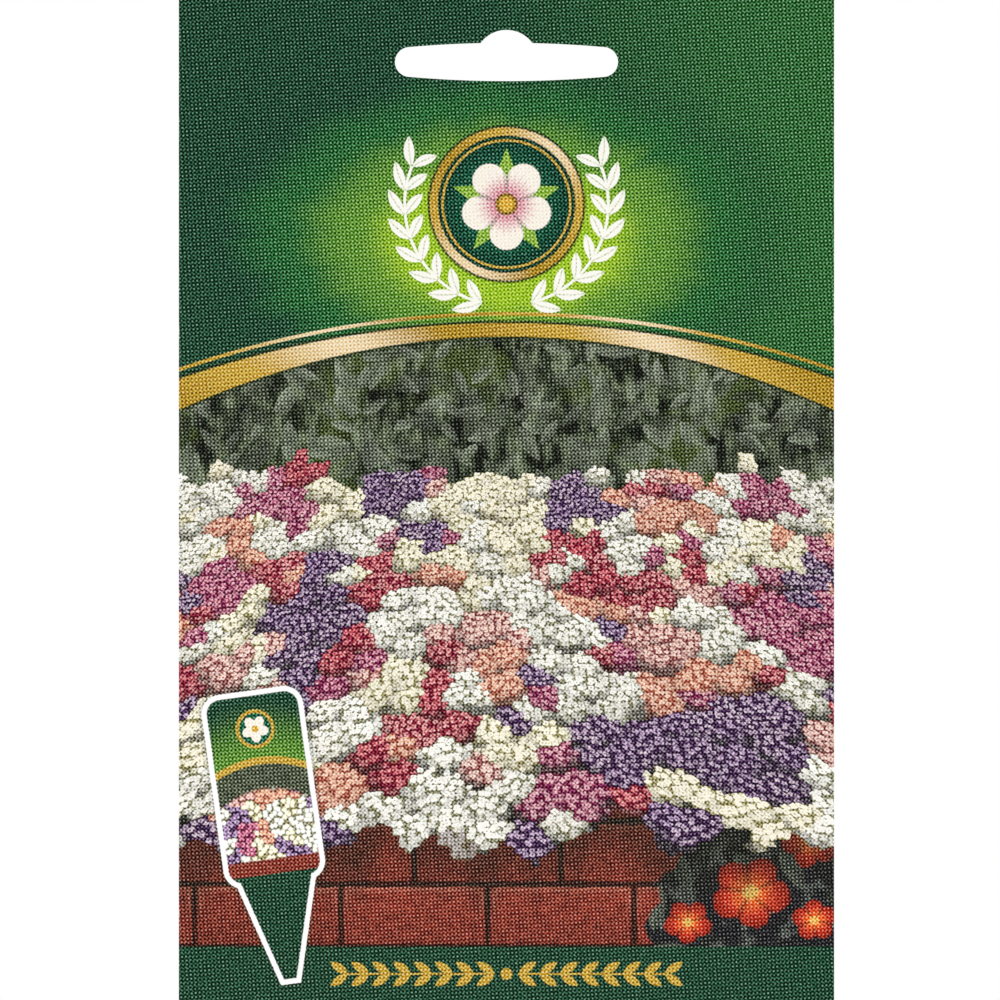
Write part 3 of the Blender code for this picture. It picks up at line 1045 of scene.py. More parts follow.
@dataclass(frozen=True)
class LabelPicture:
    """A small drawing of the plant label that lies in the packet, with a white edge."""

    tip_x: float = -31.0
    tip_h: float = 3.4
    tilt: float = 8.0
    length: float = 41.0
    half: float = 6.6
    corner: float = 2.0
    neck: float = 14.5
    shoulder: float = 1.5
    point: float = 0.9
    rim: float = 0.75
    white: Colour = srgb("FFFFFF")
    foot_band: float = 15.2
    brick_top: float = 17.3
    bed_top: float = 27.5
    bed_round: float = 0.05
    arch_top: float = 31.6
    arch_round: float = 0.035
    seal_height: float = 36.2
    seal_radius: float = 2.7
    seal_inner: float = 2.2

    def over(self, recipe: Recipe, under: Shade, x: Shade, h: Shade) -> Shade:
        """Lays the drawing over a colour.

        Args:
            recipe: the material.
            under: the colour below.
            x: place across, in millimetres.
            h: height above the foot, in millimetres.

        Returns:
            The colour with it laid on.
        """
        c = math.cos(math.radians(self.tilt))
        s = math.sin(math.radians(self.tilt))
        dx = x - self.tip_x
        dy = h - self.tip_h
        up = dy * c - dx * s
        side = dx * c + dy * s
        middle = (self.length + self.neck) / 2
        head = rounded_box(side, up - middle, self.half, self.length - middle, self.corner)
        slope = (self.half - self.shoulder - self.point) / self.neck
        blade = (abs(side) - self.point - up * slope).most(-up).most(up - self.neck - 1.0)
        edge = head.least(blade)
        shown = recipe.mix((edge - self.rim).rise(0.9, 0.0) * 0.35, under, GOLD.shadow)
        shown = recipe.mix(edge.rise(self.rim + 0.08, self.rim - 0.08), shown, self.white)
        return recipe.mix(edge.rise(0.1, -0.1), shown, self.face(recipe, side, up))

    def face(self, recipe: Recipe, side: Shade, up: Shade) -> Shade:
        """What is printed on the drawn label: green, a gold band, a small bed of flowers, and green.

        Args:
            recipe: the material.
            side: place across from the label's middle line.
            up: place up from its tip.

        Returns:
            The colour there.
        """
        where = recipe.vector(side, up)
        distance, _, floret = recipe.cells(where, 0.75, 0.9)
        _, chance, _ = recipe.cells(floret, 2.6)
        pick, _, _ = chance.parts()
        bright = recipe.ramp(pick, FlowerBed.stops("petal"), "CONSTANT")
        deep = recipe.ramp(pick, FlowerBed.stops("gap"), "CONSTANT")
        bed = recipe.mix(distance.rise(0.62, 0.30), deep, bright)
        hill = self.bed_top + (side * side) * -self.bed_round
        leaves = recipe.mix(recipe.noise(where, 1.4, 3.0), DarkLeaves.dark, DarkLeaves.light)
        shown = recipe.mix((up - hill).rise(-0.4, 0.4), bed, leaves)
        bricks = recipe.mix(recipe.noise(where, 0.8), BrickEdging.low, BrickEdging.face)
        shown = recipe.mix(up.rise(self.brick_top + 0.3, self.brick_top), shown, bricks)
        arch = self.arch_top - (side * side) * self.arch_round
        green = recipe.mix((up - arch).rise(0.0, 9.0), GREEN.leafy, GREEN.deep)
        shown = recipe.mix((up - arch).rise(-0.1, 0.1), shown, green)
        shown = recipe.mix(abs(up - arch).rise(0.62, 0.42), shown, GOLD.bright)
        shown = recipe.mix(up.rise(self.foot_band + 0.2, self.foot_band), shown, GREEN.deep)
        above = up - self.seal_height
        seal = span(side, above)
        shown = recipe.mix(seal.rise(self.seal_radius + 0.2, self.seal_radius), shown, GOLD.bright)
        shown = recipe.mix(seal.rise(self.seal_inner + 0.2, self.seal_inner), shown, HeaderPrint.seal)
        wave = abs((above.bearing(side) * 2.5 + 0.8).cos())
        shown = recipe.mix((seal - 1.2 - wave * 0.75).rise(0.1, -0.1), shown, HeaderPrint.petal)
        return recipe.mix(seal.rise(0.6, 0.4), shown, HeaderPrint.heart)


@dataclass(frozen=True)
class PicturePrint:
    """The lower part of the front: a bed of flowers over a brick edging, and the green foot band."""

    edging_top: float = 33.0
    ornament: Sprig = Sprig(3.0, 3.1, 0.62, 34.0, 0.13)
    ornament_start: float = 1.7
    ornament_leaves: int = 8
    ornament_height: float = 4.1
    ornament_dot: float = 0.75

    def material(self) -> bpy.types.Material:
        """Writes the picture's material.

        Returns:
            The finished material.
        """
        recipe = Recipe("picture_print")
        x, h = recipe.page()
        leaves = DarkLeaves().ground(recipe, x, h)
        bricks = BrickEdging().ground(recipe, x, h)
        shown = recipe.mix(h.rise(self.edging_top, self.edging_top - 1.0), leaves, bricks)
        shown = FireBlooms().over(recipe, shown, x, h)
        shown = FlowerBed().over(recipe, shown, x, h)
        foot = h.rise(LAYOUT.foot_band + 0.1, LAYOUT.foot_band - 0.1)
        shown = recipe.mix(foot, shown, self.foot_band(recipe, x, h))
        shown = LabelPicture().over(recipe, shown, x, h)
        shown = printed_band(recipe, shown, x, h)
        return PAPER_FINISH.dress(recipe, SCREEN.over(recipe, shown, x, h), x)

    def foot_band(self, recipe: Recipe, x: Shade, h: Shade) -> Shade:
        """The green foot band with a gold sprig that runs out from its middle.

        Args:
            recipe: the material.
            x: place across, in millimetres.
            h: height above the foot, in millimetres.

        Returns:
            The colour there.
        """
        out = abs(h - self.ornament_height)
        along = abs(x) - self.ornament_start
        inside, _ = self.ornament.mask(along, out, 0, self.ornament_leaves)
        dot = span(x, out).rise(self.ornament_dot + 0.2, self.ornament_dot)
        return recipe.mix(inside.most(dot), GREEN.deep, GOLD.bright)


@dataclass(frozen=True)
class Calendar:
    """The months on the back: one column for each, and a row of bars for each job."""

    left: float = -27.0
    column: float = 5.5
    foot: float = 86.0
    row: float = 5.2
    jobs: tuple[tuple[int, int, Colour], ...] = (
        (3, 4, srgb("9CBF3E")),
        (4, 6, srgb("3E8A3C")),
        (6, 10, srgb("C0587E")),
    )
    sign_out: float = 33.0
    bar_inset: float = 0.9
    bar_round: float = 1.2
    paper: Colour = srgb("FFFFFF")
    ground: Colour = srgb("FBFAF2")
    head: Colour = srgb("DDE7C2")
    line: Colour = srgb("7E9A6E")

    @property
    def right(self) -> float:
        """Where the last column ends."""
        return self.left + 12 * self.column

    @property
    def top(self) -> float:
        """Height of the top of the row of numbers."""
        return self.foot + (len(self.jobs) + 1) * self.row

    def number_place(self, month: int) -> tuple[float, float]:
        """Where a month's number is: across and up."""
        return self.left + (month - 0.5) * self.column, self.top - self.row / 2

    def over(self, recipe: Recipe, under: Shade, u: Shade, h: Shade) -> Shade:
        """Prints the calendar over a colour.

        Args:
            recipe: the material.
            under: the colour below.
            u: place across as seen from behind, in millimetres.
            h: height above the foot, in millimetres.

        Returns:
            The colour with it laid on.
        """
        beside = abs(u - (self.left + self.right) / 2) - (self.right - self.left) / 2
        above = abs(h - (self.foot + self.top) / 2) - (self.top - self.foot) / 2
        box = beside.most(above)
        inside = box.rise(0.1, -0.1)
        in_head = h.rise(self.top - self.row, self.top - self.row + 0.1)
        shown = recipe.mix(inside, under, recipe.mix(in_head, self.ground, self.head))
        columns = (u - self.left) * (1 / self.column)
        rows = (h - self.foot) * (1 / self.row)
        line_u = abs(columns - (columns + 0.5).whole()) * self.column
        line_h = abs(rows - (rows + 0.5).whole()) * self.row
        shown = recipe.mix(line_u.least(line_h).rise(0.14, 0.06) * box.rise(0.15, 0.0), shown, self.line)
        for index, (first, last, colour) in enumerate(self.jobs):
            start = self.left + (first - 1) * self.column + self.bar_inset
            end = self.left + last * self.column - self.bar_inset
            up = h - (self.top - (index + 1.5) * self.row)
            along = (abs(u - (start + end) / 2) - (end - start) / 2 + self.bar_round).most(0.0)
            bar = span(along, up).rise(self.bar_round + 0.1, self.bar_round - 0.05)
            shown = recipe.mix(bar, shown, colour)
            shown = self.sign(recipe, shown, u + self.sign_out, up, index, colour)
        return shown

    def sign(self, recipe: Recipe, under: Shade, du: Shade, dh: Shade, index: int, colour: Colour) -> Shade:
        """A small sign before each row: seeds, a sprout and a flower.

        Args:
            recipe: the material.
            under: the colour below.
            du: place across from the sign's middle.
            dh: place up from it.
            index: which row.
            colour: the row's colour.

        Returns:
            The colour with it laid on.
        """
        reach = span(du, dh)
        disc = recipe.mix(reach.rise(2.2, 2.05), under, colour)
        if index == 0:
            spread = (abs(du) - 0.75) ** 2.0 + (abs(dh) - 0.45) ** 2.0
            mark = spread.root().rise(0.46, 0.34)
        elif index == 1:
            blade = (abs(du) - 0.8) ** 2.0 + ((dh - 0.35 - abs(du) * 0.5) * 2.1) ** 2.0
            mark = blade.root().rise(0.86, 0.74).most(abs(du).rise(0.2, 0.1) * abs(dh + 0.4).rise(1.0, 0.9))
        else:
            wave = abs((dh.bearing(du) * 2.0).cos())
            mark = (reach - 0.75 - wave * 0.75).rise(0.08, -0.08) * reach.rise(0.30, 0.42)
        return recipe.mix(mark, disc, self.paper)


@dataclass(frozen=True)
class HintTiles:
    """Four picture tiles: full sun, how deep, how far apart, and water."""

    places: tuple[float, ...] = (-29.4, -9.8, 9.8, 29.4)
    height: float = 66.5
    half: float = 8.2
    corner: float = 1.8
    ground: Colour = srgb("E2EBCB")
    rim: Colour = srgb("2F6B38")
    soil: Colour = srgb("7A4E33")
    soil_dark: Colour = srgb("50301E")
    sky: Colour = srgb("D6E8EE")
    sun: Colour = srgb("F0A22E")
    leaf: Colour = srgb("5C9A38")
    water: Colour = srgb("3F8FC0")
    seed: Colour = srgb("E8C88A")
    falling: tuple[tuple[float, float], ...] = ((-3.6, 1.2), (0.0, -1.8), (3.6, 1.2))
    drop: float = 1.7

    def over(self, recipe: Recipe, under: Shade, u: Shade, h: Shade) -> Shade:
        """Prints the tiles over a colour.

        Args:
            recipe: the material.
            under: the colour below.
            u: place across as seen from behind, in millimetres.
            h: height above the foot, in millimetres.

        Returns:
            The colour with it laid on.
        """
        dh = h - self.height
        shown = under
        for place, draw in zip(self.places, (self.sunny, self.depth, self.spacing, self.drops)):
            du = u - place
            edge = rounded_box(du, dh, self.half, self.half, self.corner)
            shown = recipe.mix(edge.rise(0.1, -0.1), shown, self.rim)
            shown = recipe.mix(edge.rise(-0.35, -0.55), shown, draw(recipe, du, dh))
        return shown

    def sunny(self, recipe: Recipe, du: Shade, dh: Shade) -> Shade:
        """A sun with twelve rays.

        Args:
            recipe: the material.
            du: place across from the tile's middle.
            dh: place up from the tile's middle.

        Returns:
            The colour there.
        """
        reach = span(du, dh)
        ray = (dh.bearing(du) * 6.0).cos()
        rays = ray.rise(0.35, 0.6) * reach.rise(3.8, 3.95) * reach.rise(6.2, 6.0)
        return recipe.mix(reach.rise(3.1, 2.95).most(rays), self.ground, self.sun)

    @staticmethod
    def arrow(aside: Shade, along: Shade, half: float) -> Shade:
        """A mask of an arrow with two heads.

        Args:
            aside: the distance to the side of its shaft.
            along: the way along it from its middle.
            half: half its length.

        Returns:
            The mask.
        """
        shaft = abs(aside).rise(0.26, 0.14) * abs(along).rise(half - 0.1, half - 0.2)
        head = (abs(aside) - abs(abs(along) - half) * 0.8).rise(0.1, -0.1)
        return shaft.most(head * abs(abs(along) - half + 0.6).rise(0.65, 0.55))

    def earth(self, recipe: Recipe, du: Shade, dh: Shade, level: float) -> Shade:
        """Sky over soil.

        Args:
            recipe: the material.
            du: place across from the tile's middle.
            dh: place up from the tile's middle.
            level: height of the soil over the tile's middle.

        Returns:
            The colour there.
        """
        crumbs = recipe.noise(recipe.vector(du, dh), 0.9, 3.0)
        soil = recipe.mix(crumbs, self.soil_dark, self.soil)
        return recipe.mix((dh - level + (crumbs - 0.5) * 0.8).rise(0.1, -0.1), self.sky, soil)

    def depth(self, recipe: Recipe, du: Shade, dh: Shade) -> Shade:
        """A seed under the soil, and an arrow that gives its depth.

        Args:
            recipe: the material.
            du: place across from the tile's middle.
            dh: place up from the tile's middle.

        Returns:
            The colour there.
        """
        shown = self.earth(recipe, du, dh, 2.2)
        seed = ((du + 1.8) ** 2.0 + ((dh + 3.0) * 1.5) ** 2.0).root()
        shown = recipe.mix(seed.rise(1.5, 1.35), shown, self.seed)
        return recipe.mix(self.arrow(du - 3.6, dh + 0.4, 2.6), shown, self.ground)

    def spacing(self, recipe: Recipe, du: Shade, dh: Shade) -> Shade:
        """Two sprouts with an arrow between them.

        Args:
            recipe: the material.
            du: place across from the tile's middle.
            dh: place up from the tile's middle.

        Returns:
            The colour there.
        """
        shown = self.earth(recipe, du, dh, -2.6)
        out = abs(abs(du) - 4.2)
        stem = out.rise(0.3, 0.18) * abs(dh + 0.4).rise(2.5, 2.4)
        blade = ((out - 1.2) ** 2.0 + ((dh - 2.2 - out * 0.5) * 2.0) ** 2.0).root()
        shown = recipe.mix(stem.most(blade.rise(1.25, 1.1)), shown, self.leaf)
        return recipe.mix(self.arrow(dh + 5.2, du, 4.4), shown, self.ground)

    def drops(self, recipe: Recipe, du: Shade, dh: Shade) -> Shade:
        """Three drops of water.

        Args:
            recipe: the material.
            du: place across from the tile's middle.
            dh: place up from the tile's middle.

        Returns:
            The colour there.
        """
        shown = recipe.mix(dh.rise(-6.0, 6.0), self.sky, self.ground)
        for place, up in self.falling:
            across = abs(du - place)
            above = dh - up
            narrow = 1.0 - above.rise(-0.4, 3.6)
            round_foot = span(across, above) - self.drop
            tip = (across - narrow * self.drop).most(-above).most(above - 2 * self.drop)
            shown = recipe.mix(round_foot.least(tip).rise(0.1, -0.1), shown, self.water)
        return shown


@dataclass(frozen=True)
class BackPrint:
    """The back: what to do, in pictures on a pale panel, under a green head and over a green flap."""

    cream: Colour = srgb("F1EEE0")
    tint: Colour = srgb("E6E9D2")
    head_foot: float = 112.5
    head_dip: float = 4.0
    vignette_height: float = 34.5
    vignette_across: float = 36.0
    vignette_up: float = 15.0
    sprig: Sprig = Sprig(3.0, 3.1, 0.62, 34.0, 0.13)
    leaf_shift: float = 9.0
    flower_shift: tuple[float, float] = (60.0, 22.0)
    rule_heights: tuple[float, float] = (80.0, 53.5)
    rule_start: float = 1.7
    rule_leaves: int = 6
    rule_half: float = 39.0
    rule_green: Colour = srgb("4C7F45")

    def material(self) -> bpy.types.Material:
        """Writes the back's material.

        Returns:
            The finished material.
        """
        recipe = Recipe("back_print")
        x, h = recipe.page()
        u = -x
        edge = abs(x) * (1 / LAYOUT.half_width)
        shown = recipe.mix(edge.rise(0.6, 1.0) * 0.8, self.cream, self.tint)
        shown = Calendar().over(recipe, shown, u, h)
        shown = HintTiles().over(recipe, shown, u, h)
        shown = self.vignette(recipe, shown, u, h)
        for height in self.rule_heights:
            shown = self.rule(recipe, shown, u, h - height)
        head = self.head_foot - self.head_dip + (x * x) * (self.head_dip / LAYOUT.half_width**2)
        above = h - head
        gold = GOLD.along(recipe, u * (0.5 / LAYOUT.half_width) + 0.5)
        shown = recipe.mix(above.rise(-0.1, 0.1), shown, GREEN.deep)
        shown = recipe.mix(abs(above).rise(0.85, 0.65), shown, gold)
        shown = recipe.mix(abs(above - 2.0).rise(0.28, 0.14), shown, GOLD.bright)
        return PAPER_FINISH.dress(recipe, SOFT_SCREEN.over(recipe, shown, x, h), x)

    def rule(self, recipe: Recipe, under: Shade, u: Shade, up: Shade) -> Shade:
        """A fine sprig that parts the panel's sections.

        Args:
            recipe: the material.
            under: the colour below.
            u: place across as seen from behind, in millimetres.
            up: place above the rule's middle line.

        Returns:
            The colour with it laid on.
        """
        along = abs(u) - self.rule_start
        out = abs(up)
        inside, _ = self.sprig.mask(along, out, 0, self.rule_leaves)
        line = out.rise(0.16, 0.08) * abs(u).rise(self.rule_half, self.rule_half - 0.5)
        dot = span(u, out).rise(0.85, 0.7)
        return recipe.mix(inside.most(dot).most(line), under, self.rule_green)

    def vignette(self, recipe: Recipe, under: Shade, u: Shade, h: Shade) -> Shade:
        """An oval picture of the flowers, in a gold rim.

        Args:
            recipe: the material.
            under: the colour below.
            u: place across as seen from behind, in millimetres.
            h: height above the foot, in millimetres.

        Returns:
            The colour with it laid on.
        """
        aside = u * (1 / self.vignette_across)
        above = (h - self.vignette_height) * (1 / self.vignette_up)
        reach = span(aside, above)
        leaves = DarkLeaves().ground(recipe, u + self.leaf_shift, h)
        across, up = self.flower_shift
        flowers = FlowerBed().over(recipe, leaves, u + across, h + up)
        shown = recipe.mix(reach.rise(1.012, 1.002), under, GREEN.deep)
        shown = recipe.mix(reach.rise(0.995, 0.985), shown, GOLD.along(recipe, aside * 0.5 + 0.5))
        return recipe.mix(reach.rise(0.955, 0.945), shown, flowers)


@dataclass(frozen=True)
class FlapPrint:
    """The bottom flap: the foot band's green, carried round behind, and a little cloudy."""

    cloud: float = 20.0
    strength: float = 0.4

    def material(self) -> bpy.types.Material:
        """Writes the flap's material.

        Returns:
            The finished material.
        """
        recipe = Recipe("flap_print")
        x, h = recipe.page()
        clouds = recipe.noise(recipe.vector(x, h), self.cloud) * self.strength
        shown = recipe.mix(clouds, GREEN.deep, GREEN.side)
        return PAPER_FINISH.dress(recipe, SOFT_SCREEN.over(recipe, shown, x, h), x)


def plain_paper() -> bpy.types.Material:
    """The sheet's unprinted side and its cut edges."""
    recipe = Recipe("plain_paper")
    return PAPER_FINISH.dress(recipe, srgb("F1F0EA"))


@dataclass(frozen=True)
class GlueFinish:
    """Dried starch glue: an amber film, glossy where it ran thick."""

    thin: Colour = srgb("E4DCC0")
    thick: Colour = srgb("C6AE72")
    roughness: float = 0.45
    gloss: float = 0.3
    depth: float = 0.04

    def material(self) -> bpy.types.Material:
        """Writes the material.

        Returns:
            The finished material.
        """
        recipe = Recipe("dried_glue")
        spot = recipe.spot()
        runs = recipe.cloud(spot, 0.6, 4.0)
        fine = recipe.cloud(spot, 3.0, 3.0)
        colour = recipe.mix(runs.rise(0.35, 0.65), self.thin, self.thick)
        roughness = self.roughness - runs * self.gloss
        return recipe.finish(colour, roughness, Normal=recipe.bump(fine, self.depth))


@dataclass(frozen=True)
class BoardFinish:
    """The plant label: white board, printed on its front like the packet."""

    board: Colour = srgb("F4F4EE")
    shrink: float = 2.2
    roughness: float = 0.38
    grain: float = 0.5
    depth: float = 0.015

    def material(self) -> bpy.types.Material:
        """Writes the material.

        Returns:
            The finished material.
        """
        low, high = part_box("plant_label")
        recipe = Recipe("label_board")
        x, y, z = recipe.place()
        side = (x - (low.x + high.x) / 2 / MM) * (1 / self.shrink)
        up = (z - low.z / MM) * (LabelPicture.length / ((high.z - low.z) / MM))
        front = y.rise(low.y / MM + 0.02, low.y / MM + 0.01)
        shown = recipe.mix(front, self.board, LabelPicture().face(recipe, side, up))
        h = z + foot_height()
        grain = recipe.noise(recipe.vector(x, h), self.grain, 3.0)
        printed = SCREEN.over(recipe, shown, x, h)
        return recipe.finish(printed, self.roughness, Normal=recipe.bump(grain, self.depth))


@dataclass(frozen=True)
class FoilFinish:
    """The sachet's foil: brushed aluminium, with ribs pressed into the seals."""

    metal: Colour = srgb("D2D5D6")
    stain: Colour = srgb("AEB2B4")
    seal: float = 6.0
    rib: float = 1.5
    crease: float = 7.0
    roughness: float = 0.22
    dulled: float = 0.16
    metallic: float = 0.9
    depth: float = 0.12

    def material(self) -> bpy.types.Material:
        """Writes the material.

        Returns:
            The finished material.
        """
        low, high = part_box("sachet_front_foil")
        recipe = Recipe("sachet_foil")
        x, _, z = recipe.place()
        from_end = (z - low.z / MM).least(high.z / MM - z)
        from_side = (x - low.x / MM).least(high.x / MM - x)
        at_end = from_end.rise(self.seal, self.seal - 0.3)
        at_side = from_side.rise(self.seal, self.seal - 0.3) * (1.0 - at_end)
        ribs = (z * (2 * math.pi / self.rib)).cos() * at_end + (x * (2 * math.pi / self.rib)).cos() * at_side
        where = recipe.vector(x, z)
        creases = recipe.cells(where, self.crease)[0] * (1.0 - at_end) * (1.0 - at_side)
        brush = recipe.noise(recipe.vector(x * 0.08, z * 2.0), 1.0, 3.0)
        height = ribs * 0.5 + creases * 0.8 + brush * 0.05
        colour = recipe.mix(brush * 0.6, self.metal, self.stain)
        roughness = self.roughness + brush * self.dulled
        normal = recipe.bump(height, self.depth)
        return recipe.finish(colour, roughness, Metallic=self.metallic, Normal=normal)


@dataclass(frozen=True)
class SeedFinish:
    """Small brown seeds, each a little lighter or darker, with a paler edge."""

    dark: Colour = srgb("5E3515")
    light: Colour = srgb("B07A3A")
    edge: Colour = srgb("CFA566")
    size: float = 1.9
    pit: float = 0.22
    roughness: float = 0.55
    depth: float = 0.05

    def material(self) -> bpy.types.Material:
        """Writes the material.

        Returns:
            The finished material.
        """
        recipe = Recipe("seed_coat")
        x, _, z = recipe.place()
        where = recipe.vector(x, z)
        distance, chance, _ = recipe.cells(where, self.size)
        pits = recipe.noise(where, self.pit, 3.0)
        first, _, _ = chance.parts()
        colour = recipe.mix(first, self.dark, self.light) * (0.8 + pits * 0.4)
        colour = recipe.mix(distance.rise(0.45, 0.75) * 0.5, colour, self.edge)
        return recipe.finish(colour, self.roughness, Normal=recipe.bump(pits, self.depth))


@dataclass(frozen=True)
class InkFinish:
    """The ink of the calendar's numbers."""

    ink: Colour = srgb("1D4B2C")
    thin: Colour = srgb("2C6040")

    def material(self) -> bpy.types.Material:
        """Writes the material.

        Returns:
            The finished material.
        """
        recipe = Recipe("number_ink")
        x, _, z = recipe.place()
        mottle = recipe.noise(recipe.vector(x, z), 0.5, 2.0)
        return PAPER_FINISH.dress(recipe, recipe.mix(mottle, self.ink, self.thin))


class Zone(Enum):
    """The faces of the folded sheet, by what is on them. The value is the material slot."""

    HEADER = 0
    PICTURE = 1
    BACK = 2
    FLAP = 3
    PLAIN = 4


def read_list(items: bpy.types.bpy_prop_collection, name: str, width: int, kind: type) -> np.ndarray:
    """One value of each part of a mesh, as an array.

    Args:
        items: the mesh's faces, corners or vertices.
        name: the value's name.
        width: how many numbers it has.
        kind: the type of its numbers.

    Returns:
        The values, in a row for each part where they have several numbers.
    """
    values = np.empty(len(items) * width, kind)
    items.foreach_get(name, values)
    return values.reshape(-1, width) if width > 1 else values


@dataclass
class FoldedSheet:
    """The bag, folded from one sheet as the frame's plain one is, with the marks of what it holds.

    Sizes are in metres, and repeat how the packet is made: the paper, the laps and how full it is.
    """

    paper: float = 0.15 * MM
    pitch: float = 0.35 * MM
    step: float = 1.0 * MM
    flap: float = 10 * MM
    seam: float = 7 * MM
    seam_step: float = 3 * MM
    bottom_flap: float = 13 * MM
    bottom_inset: float = 1.5 * MM
    bottom_taper: float = 0.25
    pouch_top: float = -20 * MM
    side_run: float = 24 * MM
    end_run: float = 22 * MM
    slot_width: float = 32 * MM
    slot_middle: float = 5.5 * MM
    slot_end: float = 4.3 * MM
    bump_radius: float = 4.6 * MM
    label_mark: float = 0.13 * MM
    sachet_mark: float = 0.12 * MM
    front_bulge: float = 1.5 * MM
    back_bulge: float = 1.3 * MM
    punch_depth: float = 10 * MM
    label_taper: float = 0.45
    label_tip: float = 0.11
    label_shoulder: float = 0.85
    pucker_waves: tuple[tuple[float, float], ...] = (
        (17.0 * MM, 0.10 * MM),
        (9.5 * MM, 0.06 * MM),
        (5.3 * MM, 0.03 * MM),
    )
    pucker_reach: float = 9 * MM
    pucker_start: float = 1.2 * MM
    pucker_below: float = 12 * MM
    head_wave: float = 13 * MM
    head_depth: float = 0.09 * MM
    head_drop: float = 8 * MM
    head_spread: float = 7 * MM
    wrap_count: int = 0
    low: Vector = field(default_factory=lambda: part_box("bag_sheet")[0])
    high: Vector = field(default_factory=lambda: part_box("bag_sheet")[1])

    def __post_init__(self) -> None:
        """Works out what follows from the sizes."""
        self.half = self.high.x
        self.fold = self.pitch / 2
        self.flat = self.half - self.paper / 2 - self.fold
        self.flap_edge = -self.half + self.flap
        self.seam_edge = self.flap_edge - self.seam
        self.step_top = self.flap_edge + self.paper
        self.bottom_end = self.half - self.bottom_inset
        self.row_foot = self.low.z + self.fold + self.paper / 2

    def build(self) -> bpy.types.Object:
        """Folds, fills, thickens, punches and dresses the sheet.

        Returns:
            The finished sheet.
        """
        sheet = self.lay_front()
        self.fold_round(sheet)
        self.dress(sheet)
        paint_map = PaintMap(self)
        paint_map.lay(sheet)
        self.fill(sheet)
        self.thicken(sheet)
        self.punch(sheet)
        paint_map.finish(sheet)
        bpy.ops.object.shade_smooth_by_angle(angle=math.radians(40))
        return sheet

    def lay_front(self) -> bpy.types.Object:
        """Starts with the front panel, as a flat grid.

        Returns:
            The panel, which becomes the whole sheet.
        """
        width = 2 * self.flat
        height = self.high.z - self.row_foot
        bpy.ops.object.select_all(action="DESELECT")
        bpy.ops.mesh.primitive_grid_add(
            x_subdivisions=round(width / self.step),
            y_subdivisions=round(height / self.step),
            size=1.0,
            location=(0.0, -self.fold, self.row_foot + height / 2),
            rotation=(math.pi / 2, 0.0, 0.0),
        )
        sheet = bpy.context.active_object
        sheet.name = "printed_bag"
        sheet.scale = (width, height, 1.0)
        bpy.ops.object.transform_apply(location=True, rotation=True, scale=True)
        return sheet

    @staticmethod
    def half_turn(out: float, deep: float, steps: int = 6) -> list[tuple[float, float]]:
        """Steps that carry an edge round a fold, from front to back.

        Args:
            out: how far the fold stands out.
            deep: half the distance between its front and its back.
            steps: how many there are.

        Returns:
            The moves, each out and back.
        """
        turns = [math.pi * i / steps for i in range(steps + 1)]
        points = [(out * math.sin(t), -deep * math.cos(t)) for t in turns]
        return [(b[0] - a[0], b[1] - a[1]) for a, b in zip(points, points[1:])]

    def run(self, start: float, end: float) -> list[Vector]:
        """Even steps across from one place to another."""
        count = math.ceil(abs(end - start) / self.step)
        return [Vector(((end - start) / count, 0.0, 0.0))] * count

    def fold_round(self, sheet: bpy.types.Object) -> None:
        """Draws the side and bottom edges out and round behind, as the folds and flaps.

        Args:
            sheet: the sheet.
        """
        step_foot = self.step_top + self.seam_step
        climb = [Vector((-self.seam_step / 4, self.pitch * rise, 0.0)) for rise in (0.16, 0.34, 0.34, 0.16)]
        panel = self.run(self.flat, step_foot) + climb + self.run(self.step_top, self.seam_edge)
        flap = self.run(-self.flat, self.flap_edge)
        right = [Vector((out, back, 0.0)) for out, back in self.half_turn(self.fold, self.fold)]
        left = [Vector((out, back, 0.0)) for out, back in self.half_turn(-self.fold, self.fold)]
        down = [Vector((0.0, back, out)) for out, back in self.half_turn(-self.fold, self.pitch)]
        rows = math.ceil(self.bottom_flap / self.step)
        up = [Vector((0.0, 0.0, self.bottom_flap / rows))] * rows
        bpy.ops.object.mode_set(mode="EDIT")
        bpy.ops.mesh.select_mode(type="EDGE")
        self.draw_out(sheet, lambda v: v.x > self.flat - 1e-6, right + panel)
        self.draw_out(sheet, lambda v: v.x < -self.flat + 1e-6 and v.y < 0, left + flap)
        self.wrap_count = len(bmesh.from_edit_mesh(sheet.data).verts)
        end = self.bottom_end + self.step / 4
        self.draw_out(sheet, lambda v: v.z < self.row_foot + 1e-6 and v.y < 0 and abs(v.x) < end, down + up)
        bpy.ops.object.mode_set(mode="OBJECT")

    @staticmethod
    def draw_out(sheet: bpy.types.Object, chosen: Callable[[Vector], bool], steps: list[Vector]) -> None:
        """Selects edges by their place and extrudes them along a list of steps.

        Args:
            sheet: the object in edit mode.
            chosen: tells from a place whether it is on the edge to draw out.
            steps: the moves, in order.
        """
        bpy.ops.mesh.select_all(action="DESELECT")
        bm = bmesh.from_edit_mesh(sheet.data)
        for edge in bm.edges:
            if edge.is_boundary and all(chosen(v.co) for v in edge.verts):
                edge.select_set(True)
        bmesh.update_edit_mesh(sheet.data)
        for step in steps:
            bpy.ops.mesh.extrude_region_move(TRANSFORM_OT_translate={"value": step})

    @staticmethod
    def ease(distance: np.ndarray, run: float) -> np.ndarray:
        """0 at an edge and 1 past the run, levelling off as it gets there."""
        return 1.0 - (1.0 - np.clip(distance / run, 0.0, 1.0)) ** 2

    @staticmethod
    def smooth(value: np.ndarray, start: float, end: float) -> np.ndarray:
        """0 before start, 1 past end, with a soft S between."""
        share = np.clip((value - start) / (end - start), 0.0, 1.0)
        return share * share * (3.0 - 2.0 * share)

    def lap(self, x: np.ndarray) -> np.ndarray:
        """How far the back panel is lifted where it laps over the glue flap."""
        return self.pitch * self.smooth(x, self.step_top + self.seam_step, self.step_top)

